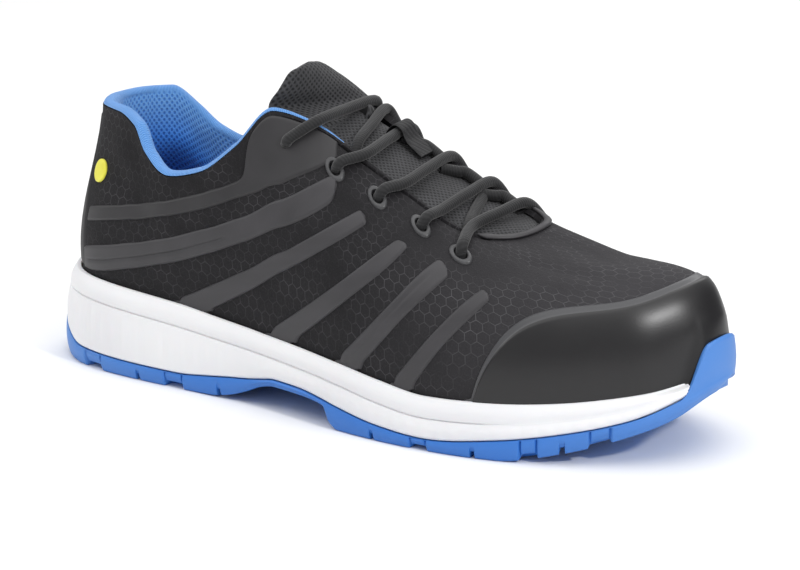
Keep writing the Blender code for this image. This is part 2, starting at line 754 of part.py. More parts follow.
def eyelet_places():
    """Side, number, turn and climb of each eyelet."""
    rows = [(-1, n, row[0], row[1]) for n, row in enumerate(EYELETS, 1)]
    return rows + [(1, n, mirrored(row[2], 1), row[3]) for n, row in enumerate(EYELETS, 1)]


def eyelet_cutter(tools):
    """Round holes through the upper, square to it."""
    points, faces, count = [], [], 12
    for side, number, turn, climb in eyelet_places():
        start = len(points)
        centre, normal = upper(turn, climb), upper_normal(turn, climb)
        turned = Vector(normal).to_track_quat("Z", "Y").to_matrix()
        for height in (-2 * UPPER_WALL, UPPER_WALL):
            for i in range(count):
                angle = 2 * math.pi * i / count
                round_it = Vector((math.cos(angle), math.sin(angle), 0)) * EYELET_HOLE / 2
                points.append(centre + np.array(turned @ (round_it + Vector((0, 0, height)))))
        faces += [tuple(start + i for i in range(count)), tuple(start + count + i for i in range(count))]
        faces += [(start + i, start + (i + 1) % count, start + count + (i + 1) % count, start + count + i)
                  for i in range(count)]
    return cutter("eyelet_holes", points, faces, tools)


def make_eyelets(surface, shoe):
    """Flat rings about every hole but the top one of each side."""
    count = 10
    for side, number, turn, climb in eyelet_places():
        if number == 1:
            continue
        inner, outer = EYELET_HOLE / 2, EYELET_RING / 2
        low, high = FIT_GAP, FIT_GAP + EYELET_HEIGHT
        loops = [(inner, low), (outer, low), (outer * 0.94, high), (inner * 1.08, high)]
        points = np.stack([surface_circle(turn, climb, radius, count, out) for radius, out in loops])
        faces = quads(len(loops), count, close_rows=True, close_columns=True)
        side_name = "outer" if side < 0 else "inner"
        mesh_object(f"eyelet_{side_name}_{number}", points.reshape(-1, 3), faces, surface, shoe)


def strip(name, turn, climb, wall, surface, shoe, base=None):
    """A film on the upper over a grid of turns and climbs."""
    base = FILM_GAP if base is None else base
    low = np.full(turn.shape, base)
    return sheet_body(name, upper(turn, climb, low + wall), upper(turn, climb, low), surface, shoe)


def between(first, second, steps):
    """A grid of numbers between two edges given as arrays."""
    share = np.linspace(0, 1, steps + 1)
    return first[:, None] * (1 - share) + second[:, None] * share


def make_stripes(surface, shoe):
    for side, side_name in ((-1, "outer"), (1, "inner")):
        for name, columns in SIDE_STRIPES.items():
            share = np.linspace(0, 1, 11 if name in WIDE_STRIPES else 8)
            edges = [smooth(np.linspace(0, 1, len(column)), column, share) for column in columns]
            across = 2 if name in WIDE_STRIPES else 1
            turn = mirrored(between(edges[0], edges[2], across), side)
            climb = between(edges[1], edges[3], across)
            strip(f"{name}_{side_name}", turn, climb, STRIPE_WALL, surface, shoe)


def make_eyestays(surface, shoe):
    rows = np.array(EYESTAY)
    first, last = rows[0, 0], rows[-1, 0]
    stations = [t for t in ring_turns(SOLE_STEPS, ARCH_PLACES) if first < t < last]
    turn = np.array([first, *stations, last])
    low, high = (smooth(rows[:, 0], rows[:, c], turn) for c in (1, 2))
    for side, side_name in ((-1, "outer"), (1, "inner")):
        climb = between(low, high, 3)
        turns = np.repeat(mirrored(turn, side)[:, None], 4, axis=1)
        strip(f"eyestay_{side_name}", turns, climb, STRIPE_WALL, surface, shoe)


def toe_cap_foot(turn):
    """Climb of the toe cap's lower edge: just over the rim, and over the top of the bumper."""
    top = sole_height(SEAM, turn) + bumper_share(turn, BUMPER_CLEAR) * (BUMPER_HEIGHT + FIT_GAP * 2)
    climbs = np.linspace(0, 1, 201)
    heights = upper_base(turn[:, None], climbs[None, :])[..., 2]
    over = np.array([np.interp(t, row, climbs) for t, row in zip(top, heights)])
    return np.maximum(over, TOE_CAP_FOOT)


def make_toe_cap(surface, shoe):
    rows = np.array(TOE_CAP_EDGE)
    share = np.linspace(0, 1, 25)
    knots = np.linspace(0, 1, len(rows))
    turn, edge = smooth(knots, rows[:, 0], share), smooth(knots, rows[:, 1], share)
    climb = between(toe_cap_foot(turn), edge, 4)
    turns = np.repeat(turn[:, None], 5, axis=1)
    low = np.full(turns.shape, FILM_GAP)
    wall = np.full(turns.shape, TOE_CAP_WALL)
    wall[:, -1] = TOE_CAP_WALL * 0.45
    outer, inner = upper(turns, climb, low + wall), upper(turns, climb, low)
    return sheet_body("toe_cap", outer, inner, surface, shoe)


def make_heel_strip(surface, shoe):
    rows = np.array(HEEL_STRIP)
    climbs = np.linspace(rows[0, 0], rows[-1, 0], 6)
    half = smooth(rows[:, 0], rows[:, 1], climbs)
    share = np.linspace(-1, 1, 9)
    turn = (share[:, None] * half[None, :])
    climb = np.repeat(climbs[None, :], len(share), axis=0)
    return strip("heel_strip", turn, climb, STRIPE_WALL, surface, shoe)


def make_badges(surface, shoe):
    """A plain disc on each side of the heel."""
    for side, side_name in ((-1, "outer"), (1, "inner")):
        turn, climb = mirrored(BADGE_PLACE[0], side), BADGE_PLACE[1]
        count = 12
        loops = [(BADGE * 0.25, 0), (BADGE / 2, 0), (BADGE / 2, 1), (BADGE * 0.25, 1)]
        rings = [surface_circle(turn, climb, r, count, FIT_GAP + BADGE_HEIGHT * up) for r, up in loops]
        points = np.concatenate(rings)
        faces = quads(len(loops), count, close_columns=True)
        faces += [tuple(range(count)), tuple(range(3 * count, 4 * count))]
        mesh_object(f"heel_badge_{side_name}", points, faces, surface, shoe)


def throat_share(turn):
    """0 round the collar and 1 along the throat."""
    away = np.minimum(turn % 1.0, 1 - turn % 1.0)
    share = np.clip((away - LINING_THIN[0]) / (LINING_THIN[1] - LINING_THIN[0]), 0, 1)
    return share * share * (3 - 2 * share)


def lining_wall(turn, climb):
    """Thickness of the lining: padded round the collar, thin along the throat."""
    rows = np.array(LINING)
    share = throat_share(turn)
    collar, throat = (smooth(rows[:, 0], rows[:, c], climb) for c in (1, 2))
    return COLLAR_PAD * (collar * (1 - share) + throat * share)


def make_lining(surface, shoe):
    turns = ring_turns(SOLE_STEPS, ARCH_PLACES)
    turns = np.array([t for t in turns if t < LINING_END - TURN_STEP / 2])
    turns = np.concatenate([[-LINING_END], -turns[:0:-1], turns, [LINING_END]])
    climbs = np.array([LINING[0][0], *CLIMBS])
    turn, climb = np.meshgrid(turns, climbs, indexing="ij")
    back = np.full(turn.shape, -(UPPER_WALL + FILM_GAP * 1.2))
    wall = lining_wall(turn, climb)
    outer, inner = upper(turn, climb, back), upper(turn, climb, back - wall)
    top = wall[:, -1]
    start = back[:, -1]
    lips = [
        # height over the edge as a share of the lip, outer face, inner face as a share of the wall
        (0.25, start, 0.85),
        (0.75, start + UPPER_WALL * 0.6, 0.55),
        (1.00, start + UPPER_WALL * 0.5, 0.25),
    ]
    lip = COLLAR_LIP * (1 - THROAT_LIP * throat_share(turns))
    outer_lip = [over_edge(turns, lip * up, out) for up, out, _ in lips]
    inner_lip = [over_edge(turns, lip * up, start - top * share) for up, _, share in lips]
    outer = np.concatenate([outer, np.stack(outer_lip, 1)], 1)
    inner = np.concatenate([inner, np.stack(inner_lip, 1)], 1)
    return sheet_body("collar_lining", outer, inner, surface, shoe)


def tongue_section(turn, depth):
    """Seven points across the tongue: under the outer side, over the gap and under the inner side."""
    low = -(UPPER_WALL + FIT_GAP * 2 + LINING_WALL) - depth
    outer = [upper(turn, climb, low) for climb in TONGUE_WING]
    inner = [upper(1 - turn, climb, low) for climb in TONGUE_WING]
    middle = []
    for share in (0.25, 0.5, 0.75):
        point = outer[-1] * (1 - share) + inner[-1] * share
        middle.append(point + np.array([0.0, 0.0, TONGUE_CROWN * 4 * share * (1 - share)]))
    return outer + middle + inner[::-1]


def make_tongue(surface, shoe):
    front_turns = np.linspace(0.375, 0.625, 2 * len(TONGUE_WING) + 3)
    grids = []
    for depth in (0.0, TONGUE_WALL):
        low = -(UPPER_WALL + FIT_GAP * 2 + LINING_WALL) - depth * 0.55
        rows = [[upper(turn, TONGUE_FRONT, low) for turn in front_turns]]
        rows += [tongue_section(turn, depth) for turn in TONGUE_TURNS]
        last = np.array(rows[-1])
        middle = (last[2] + last[-3]) / 2
        ends = np.array([[-back, up] for back, up, *_ in TONGUE_TOP]) * TONGUE_LENGTH
        for (back, up, half, shift, crown), heading in zip(TONGUE_TOP, np.gradient(ends, axis=0)):
            sides = np.linspace(-1, 1, len(front_turns))
            normal = np.array([heading[1], 0, -heading[0]]) / np.hypot(*heading)
            across = np.outer((sides * half + shift) * TONGUE_LENGTH, (TONGUE_SKEW, 1.0, -TONGUE_ROLL))
            rise = np.outer(crown * (1 - sides**2) * TONGUE_LENGTH, normal)
            deep = -normal * depth * TONGUE_THIN
            rows.append(middle + np.array([-back, 0, up]) * TONGUE_LENGTH + across + rise + deep)
        grids.append(np.array(rows))
    return sheet_body("tongue", grids[0], grids[1], surface, shoe)


def make_throat_binding(surface, shoe):
    turns = np.linspace(0.352, 0.640, 21)
    turn, climb = np.meshgrid(turns, np.array([0.955, 0.978, 0.998]), indexing="ij")
    low = np.full(turn.shape, FILM_GAP)
    wall = np.array([0.5, 1.0, 0.8]) * BINDING_WALL
    return sheet_body("throat_binding", upper(turn, climb, low + wall), upper(turn, climb, low), surface, shoe)


def cord_mesh(name, points, width, surface, collection):
    """A round cord through the points, as a closed mesh."""
    curve = bpy.data.curves.new(name, "CURVE")
    curve.dimensions = "3D"
    curve.bevel_depth = width / 2
    curve.bevel_resolution = 1
    curve.use_fill_caps = True
    spline = curve.splines.new("POLY")
    spline.points.add(len(points) - 1)
    for place, point in zip(spline.points, points):
        place.co = (*map(float, point), 1.0)
    source = bpy.data.objects.new(name + "_path", curve)
    collection.objects.link(source)
    bpy.context.view_layer.update()
    graph = bpy.context.evaluated_depsgraph_get()
    mesh = bpy.data.meshes.new_from_object(source.evaluated_get(graph))
    mesh.name = name
    work = bmesh.new()
    work.from_mesh(mesh)
    bmesh.ops.remove_doubles(work, verts=work.verts, dist=2e-6)
    bmesh.ops.recalc_face_normals(work, faces=work.faces)
    work.to_mesh(mesh)
    work.free()
    mesh.materials.clear()
    if surface:
        mesh.materials.append(surface)
    obj = bpy.data.objects.new(name, mesh)
    obj.matrix_world = source.matrix_world
    collection.objects.link(obj)
    bpy.data.objects.remove(source)
    return obj


def lace_bar(number):
    """Points of one bar: from its outer eyelet over both edges of the throat to its inner eyelet."""
    outer_turn, outer_climb, inner_turn, inner_climb = EYELETS[number - 1]
    sides = []
    for turn, climb in ((outer_turn, outer_climb), (mirrored(inner_turn, 1), inner_climb)):
        end = upper(turn, climb, LACE / 2 + EYELET_HEIGHT + FIT_GAP * 3)
        shoulder = upper(turn, (1 + climb) / 2, LACE / 2 + LACE_CLEAR)
        crest = over_edge(turn, COLLAR_LIP * 0.3, LACE / 2 + LACE_CLEAR)
        sides.append([end, shoulder, crest])
    middle = (sides[0][2] + sides[1][2]) / 2 + np.array([0, 0, TONGUE_CROWN * 0.7])
    return np.array([*sides[0], middle, *sides[1][::-1]])


def bar_place(number, share):
    """A point of a bar between the two edges of the throat: share 0 is the outer edge, 1 the inner one."""
    _, _, first, middle, last, _, _ = lace_bar(number)
    if share < 0.5:
        return first + (middle - first) * share * 2
    return middle + (last - middle) * (share - 0.5) * 2


# Runs between two bars, as the bar and share that each end lies on
LACE_LINKS = (
    # first bar, share, second bar, share
    (1, 0.94, 2, 0.06),
    (2, 0.92, 3, 0.90),
    (3, 0.90, 4, 0.90),
    (4, 0.90, 5, 0.90),
    (4, 0.80, 5, 0.06),
)


def make_lace(surface, shoe, tools):
    """Bars from eyelet to eyelet, and the runs that join each bar to the next."""
    body = cord_mesh("lace", lace_bar(1), LACE, surface, shoe)
    runs = [lace_bar(number) for number in range(2, len(EYELETS) + 1)]
    for first, first_share, second, second_share in LACE_LINKS:
        runs.append(np.array([bar_place(first, first_share), bar_place(second, second_share)]))
    for number, points in enumerate(runs, 1):
        run = cord_mesh(f"lace_run_{number}", points, LACE * 0.99, None, tools)
        run.hide_render = True
        run.display_type = "WIRE"
        boolean(body, run, "UNION")
    return body


LOOP_BAR = 2
LOOP_SHARE = 0.62


def make_tongue_loop(surface, shoe):
    """A flat band over the second bar, with both feet just clear of the tongue."""
    bar = bar_place(LOOP_BAR, LOOP_SHARE)
    outer = upper(EYELETS[LOOP_BAR - 1][0], TONGUE_WING[-1])
    ahead = upper(EYELETS[LOOP_BAR][0], TONGUE_WING[-1]) - outer
    slope = np.array([ahead[0], 0.0, ahead[2]]) / np.hypot(ahead[0], ahead[2])
    up = np.array([-slope[2], 0.0, slope[0]])
    over, under = LACE / 2 + FIT_GAP * 2, -(LACE / 2 + LOOP_DROP)
    profile = [
        # along the tongue, over it
        (-LACE - FIT_GAP * 2, under),
        (-LACE * 0.45, over),
        (LACE * 0.45, over),
        (LACE + FIT_GAP * 4, under + LOOP_WALL),
        (LOOP_REACH, under + LOOP_WALL * 0.5),
    ]
    grids = []
    for wall in (LOOP_WALL, 0.0):
        middle = np.array([bar + slope * along + up * (rise + wall) for along, rise in profile])
        sides = np.array([[0, -LOOP_WIDTH / 2, 0], [0, 0, 0], [0, LOOP_WIDTH / 2, 0]])
        grids.append(middle[:, None, :] + sides[None, :, :])
    return sheet_body("tongue_loop", grids[0], grids[1], surface, shoe)


def main():
    shoe, tools = start_scene()
    rubber = material("blue_rubber", (0.07, 0.22, 0.60), 0.55)
    foam = material("white_foam", (0.87, 0.87, 0.86), 0.60)
    fabric = material("black_mesh", (0.035, 0.036, 0.040), 0.75)
    film = material("grey_film", (0.085, 0.086, 0.092), 0.50)
    cap = material("toe_cap_rubber", (0.050, 0.050, 0.053), 0.40)
    spacer = material("blue_spacer_mesh", (0.10, 0.32, 0.78), 0.80)
    tongue = material("tongue_mesh", (0.030, 0.031, 0.034), 0.80)
    ring_film = material("eyelet_grey", (0.13, 0.13, 0.14), 0.45)
    cord = material("black_cord", (0.022, 0.022, 0.025), 0.70)
    yellow = material("yellow_disc", (0.85, 0.78, 0.08), 0.45)
    felt = material("insole_fabric", (0.06, 0.16, 0.45), 0.85)
    make_outsole(rubber, shoe, tools)
    make_midsole(foam, shoe)
    make_insole(felt, shoe)
    make_upper(fabric, shoe, tools)
    make_toe_cap(cap, shoe)
    make_eyestays(film, shoe)
    make_stripes(film, shoe)
    make_heel_strip(film, shoe)
    make_badges(yellow, shoe)
    make_lining(spacer, shoe)
    make_tongue(tongue, shoe)
    make_throat_binding(fabric, shoe)
    make_eyelets(ring_film, shoe)
    make_lace(cord, shoe, tools)
    make_tongue_loop(cord, shoe)


main()
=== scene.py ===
"""Looks of the safety sneaker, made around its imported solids.

Metres, +Z up, in the frame of the solids: the toe points along +X and the inner side of the foot is +Y. A
place round the shoe is a turn: 0 is the middle of the heel, 0.5 the tip of the toe, smaller values lie on
the outer side and larger ones on the inner side. A height on the upper is a climb: 0 is the feather line on
the rim of the midsole, 1 is the edge of the collar or of the throat.
"""

import math

import bmesh
import bpy
import numpy as np
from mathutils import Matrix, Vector

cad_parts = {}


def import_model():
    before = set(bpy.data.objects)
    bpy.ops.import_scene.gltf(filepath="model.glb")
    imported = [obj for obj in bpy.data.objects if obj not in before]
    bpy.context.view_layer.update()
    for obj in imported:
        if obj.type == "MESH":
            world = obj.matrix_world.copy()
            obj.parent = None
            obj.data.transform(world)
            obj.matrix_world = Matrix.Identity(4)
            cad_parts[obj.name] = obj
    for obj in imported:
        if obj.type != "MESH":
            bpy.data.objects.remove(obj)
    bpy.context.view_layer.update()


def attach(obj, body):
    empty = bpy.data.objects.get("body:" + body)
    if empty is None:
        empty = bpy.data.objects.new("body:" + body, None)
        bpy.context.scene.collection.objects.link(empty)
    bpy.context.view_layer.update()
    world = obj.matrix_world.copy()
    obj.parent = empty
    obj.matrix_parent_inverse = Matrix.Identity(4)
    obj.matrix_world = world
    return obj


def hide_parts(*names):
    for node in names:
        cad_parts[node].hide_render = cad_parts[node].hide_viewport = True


# Driving sizes
LENGTH = 0.300
BALL_WIDTH = 0.108
RIM_HEIGHT = 0.039
COLLAR_HEIGHT = 0.1045
BELLY = 0.0030
FIT_GAP = 0.0004

# Walls and sheets
UPPER_WALL = 0.0022
SKIRT = 0.0055
RIM_WALL = 0.0022
SHELF_WALL = 0.0022
INSOLE_THICKNESS = 0.0045
LINING_WALL = 0.0018
TOE_CAP_WALL = 0.0016
STRIPE_WALL = 0.0008
BINDING_WALL = 0.0012
LOOP_WALL = 0.0012

# Outline of the sole: shares of the length and of half the ball width
OUTLINE = (
    # along, outer, inner
    (0.045, 0.52, 0.46),
    (0.140, 0.715, 0.645),
    (0.300, 0.765, 0.665),
    (0.430, 0.83, 0.68),
    (0.560, 0.965, 0.83),
    (0.680, 1.00, 0.985),
    (0.790, 0.905, 0.985),
    (0.900, 0.62, 0.80),
    (0.970, 0.30, 0.52),
)
TOE_TIP_SIDE = 0.15

# Heights that the upper and the insole stand on, as shares of the rim height at the heel
CUP_HEIGHTS = (
    # along, rim, floor of the cup
    (0.000, 1.020, 0.776),
    (0.035, 1.010, 0.766),
    (0.080, 0.975, 0.731),
    (0.260, 0.895, 0.651),
    (0.380, 0.790, 0.546),
    (0.405, 0.770, 0.526),
    (0.430, 0.755, 0.511),
    (0.520, 0.710, 0.466),
    (0.545, 0.690, 0.446),
    (0.610, 0.620, 0.376),
    (0.680, 0.560, 0.316),
    (0.780, 0.570, 0.335),
    (0.860, 0.620, 0.400),
    (0.930, 0.690, 0.495),
    (0.975, 0.760, 0.585),
    (1.000, 0.860, 0.695),
)

# Outline of the sole's side as the photograph shows it, as shares of the rim's height at the heel
SIDE_HEIGHTS = (
    # along, ground, seam, groove, rim
    (0.000, 0.100, 0.470, 0.795, 0.985),
    (0.035, 0.030, 0.330, 0.765, 0.965),
    (0.080, 0.000, 0.185, 0.740, 0.950),
    (0.260, 0.000, 0.156, 0.651, 0.869),
    (0.320, 0.008, 0.200, 0.608, 0.814),
    (0.350, 0.050, 0.230, 0.588, 0.789),
    (0.380, 0.130, 0.258, 0.569, 0.766),
    (0.405, 0.214, 0.290, 0.553, 0.745),
    (0.430, 0.250, 0.321, 0.539, 0.729),
    (0.475, 0.245, 0.312, 0.513, 0.704),
    (0.520, 0.204, 0.265, 0.485, 0.675),
    (0.530, 0.060, 0.250, 0.474, 0.668),
    (0.545, 0.000, 0.229, 0.462, 0.657),
    (0.610, 0.000, 0.150, 0.384, 0.594),
    (0.680, 0.000, 0.112, 0.325, 0.530),
    (0.780, 0.000, 0.194, 0.360, 0.556),
    (0.860, 0.110, 0.300, 0.440, 0.602),
    (0.930, 0.280, 0.440, 0.560, 0.679),
    (0.975, 0.440, 0.620, 0.705, 0.748),
    (1.000, 0.620, 0.780, 0.820, 0.850),
)

# How far the wall of the sole leans in from its outline, as shares of the rim wall
SOLE_LEAN = (
    # along, tread, seam, groove, rim
    (0.00, 0.60, 0.40, 1.40, 2.70),
    (0.10, 0.60, 0.40, 1.00, 1.80),
    (0.40, 0.50, 0.45, 0.80, 1.30),
    (0.68, 0.50, 0.40, 0.55, 0.90),
    (0.90, 0.70, 0.40, 0.60, 0.90),
    (1.00, 1.20, 0.40, 0.50, 0.80),
)

# Columns of the last two tables
GROUND, SEAM, GROOVE, RIM = 1, 2, 3, 4

# Tread and wall of the outsole: its rounded edge, the cuts across it, and grooves with blocks in the wall
SOLE_COUNT = 840
INSOLE_COUNT = 160
TREAD_EDGE = 0.0012
TREAD_DEPTH = 0.0026
TREAD_LINES = (0.196, 0.335, 0.604, 0.751, 0.859)
CUT_WIDTH = 0.0018
CUT_EDGE = 0.00015
BLOCK_RISE = 0.0022
SIDE_GROOVE_DEPTH = 0.0013
GROOVE_LINE = 0.00042
GROOVE_OFFSETS = (-0.0012, -0.0008, -0.0005, -0.00025, 0.0, 0.00025, 0.0005, 0.0008, 0.0012)
WALL_GROOVES = (
    # along, width as a share of the length: a pair of grooves with a short block between them
    (0.1105, 0.031),
    (0.2575, 0.029),
    (0.6750, 0.022),
    (0.8205, 0.019),
    (0.8995, 0.021),
)

# Wall of the midsole: the line along it, which fades out towards the toe, and its facets
GROOVE_SIZE = 0.0008
GROOVE_FADE = (0.81, 0.74)
FACET_PITCH = 0.0062
FACET_DEPTH = 0.00022

# Toe bumper, and how far the tread's edge is tucked in and lifted past the tip of the toe
BUMPER_WALL = 0.0024
BUMPER_HEIGHT = 0.0150
BUMPER_HALF = 0.0175
BUMPER_CLEAR = 0.0045
BUMPER_SPREAD = (-0.0075, 0.0120)
FEATHER_RAMP = 0.0200
TOE_TUCK = 0.0030
TOE_LIFT = 0.0050
LIFTED_FROM = 0.84

# Edge of the collar and throat. Shares: along of the length, side of half the ball width, height of the
# collar height, belly of the belly size. Full is how upright the side starts, arch how far it leans in
# before the edge and drop how far below the edge it does so.
TOP_EDGE_OUTER = (
    # feather, along, side, height, belly, full, arch, drop
    (0.030, 0.082, 0.28, 1.000, 0.67, 0.35, 0.05, 0.30),
    (0.090, 0.133, 0.45, 1.000, 0.83, 0.35, 0.00, 0.30),
    (0.150, 0.170, 0.53, 0.965, 1.00, 0.35, -0.10, 0.30),
    (0.200, 0.197, 0.59, 0.870, 1.00, 0.35, -0.20, 0.30),
    (0.260, 0.240, 0.64, 0.805, 1.00, 0.35, -0.20, 0.30),
    (0.320, 0.293, 0.64, 0.840, 1.00, 0.40, 0.10, 0.30),
    (0.380, 0.343, 0.57, 0.950, 1.00, 0.45, 0.30, 0.30),
    (0.440, 0.385, 0.43, 1.085, 1.00, 0.50, 0.45, 0.30),
    (0.500, 0.447, 0.33, 1.035, 1.00, 0.50, 0.50, 0.22),
    (0.570, 0.510, 0.31, 0.940, 1.00, 0.50, 0.50, 0.16),
    (0.650, 0.580, 0.305, 0.838, 1.00, 0.55, 0.50, 0.12),
    (0.730, 0.645, 0.28, 0.742, 0.83, 0.60, 0.50, 0.10),
    (0.810, 0.686, 0.22, 0.708, 0.67, 0.70, 0.55, 0.10),
    (0.890, 0.706, 0.11, 0.703, 0.50, 0.80, 0.62, 0.12),
    (0.960, 0.717, -0.02, 0.712, 0.33, 0.88, 0.70, 0.16),
)
TOP_EDGE_HEEL = (0.0, 0.060, 0.0, 1.000, 0.67, 0.35, 0.10, 0.30)
TOP_EDGE_TOE = (1.0, 0.722, -0.15, 0.728, 0.27, 0.92, 0.78, 0.19)
TOP_EDGE_INNER = (
    # feather, along, side, height, belly, full, arch, drop
    (0.030, 0.072, 0.24, 1.005, 0.67, 0.35, 0.05, 0.30),
    (0.090, 0.100, 0.43, 1.005, 0.83, 0.35, 0.00, 0.30),
    (0.150, 0.133, 0.55, 0.930, 1.00, 0.35, -0.10, 0.30),
    (0.200, 0.167, 0.59, 0.855, 1.00, 0.35, -0.20, 0.30),
    (0.260, 0.220, 0.60, 0.815, 1.00, 0.35, -0.20, 0.30),
    (0.320, 0.285, 0.60, 0.845, 1.00, 0.40, 0.10, 0.30),
    (0.380, 0.343, 0.55, 0.955, 1.00, 0.45, 0.30, 0.30),
    (0.440, 0.385, 0.44, 1.085, 1.00, 0.50, 0.40, 0.30),
    (0.500, 0.447, 0.375, 1.045, 1.00, 0.50, 0.40, 0.24),
    (0.570, 0.510, 0.365, 0.960, 1.00, 0.50, 0.40, 0.20),
    (0.650, 0.580, 0.365, 0.870, 1.00, 0.52, 0.40, 0.20),
    (0.730, 0.645, 0.360, 0.795, 0.83, 0.54, 0.40, 0.25),
    (0.810, 0.686, 0.340, 0.757, 0.67, 0.58, 0.42, 0.28),
    (0.890, 0.706, 0.300, 0.745, 0.50, 0.66, 0.50, 0.28),
    (0.960, 0.719, 0.230, 0.735, 0.33, 0.82, 0.66, 0.22),
)

# Grid of the upper, and the folded band along its throat with the slit below
UPPER_STEPS = 440
UPPER_ROWS = 50
BELOW_EDGE = 0.985
BAND_RISE = 0.0006
SLIT_TURNS = (0.228, 0.365)
SLIT_DROP = 0.0024
SLIT_DEPTH = 0.0011

# Creases of the upper: ridges above zero and troughs below, in metres
CREASES = (
    # first turn, first climb, last turn, last climb, half width, height
    (0.345, 0.560, 0.388, 0.760, 0.0050, -0.0007),
    (0.358, 0.460, 0.408, 0.620, 0.0055, 0.0006),
    (0.372, 0.800, 0.430, 0.560, 0.0050, -0.0006),
    (0.420, 0.720, 0.470, 0.560, 0.0070, 0.0006),
    (0.655, 0.560, 0.612, 0.760, 0.0050, -0.0007),
    (0.642, 0.460, 0.592, 0.620, 0.0055, 0.0006),
    (0.628, 0.800, 0.570, 0.560, 0.0050, -0.0006),
    (0.105, 0.640, 0.150, 0.560, 0.0060, -0.0008),
    (0.100, 0.800, 0.140, 0.740, 0.0060, 0.0010),
    (0.165, 0.880, 0.215, 0.800, 0.0045, -0.0006),
    (0.895, 0.640, 0.850, 0.560, 0.0060, -0.0008),
    (0.900, 0.800, 0.860, 0.740, 0.0060, 0.0010),
    (0.835, 0.880, 0.785, 0.800, 0.0045, -0.0006),
    (0.232, 0.620, 0.262, 0.740, 0.0040, 0.0005),
    (0.768, 0.620, 0.738, 0.740, 0.0040, 0.0005),
    (0.000, 0.700, 0.020, 0.880, 0.0090, 0.0008),
    (0.470, 0.790, 0.620, 0.740, 0.0130, -0.0026),
    (0.480, 0.370, 0.600, 0.370, 0.0150, 0.0027),
    (0.470, 0.160, 0.545, 0.160, 0.0090, 0.0016),
)
RELIEF_FOOT = (0.03, 0.20)

# Films stand on the creased face, with their edges sunk below it. The shares lie across a film.
FILM_SINK = 0.0001
FILM_BEVEL = 0.0010
FILM_SHARES = np.array(
    [0, 0.02, 0.05, 0.09, 0.15, 0.24, 0.34, 0.44, 0.50, 0.56, 0.66, 0.76, 0.85, 0.91, 0.95, 0.98, 1.0]
)
STAY_SHARES = np.concatenate(
    [[0, 0.01, 0.025, 0.05, 0.08], np.linspace(0.12, 0.88, 22), [0.92, 0.95, 0.975, 0.99, 1.0]]
)

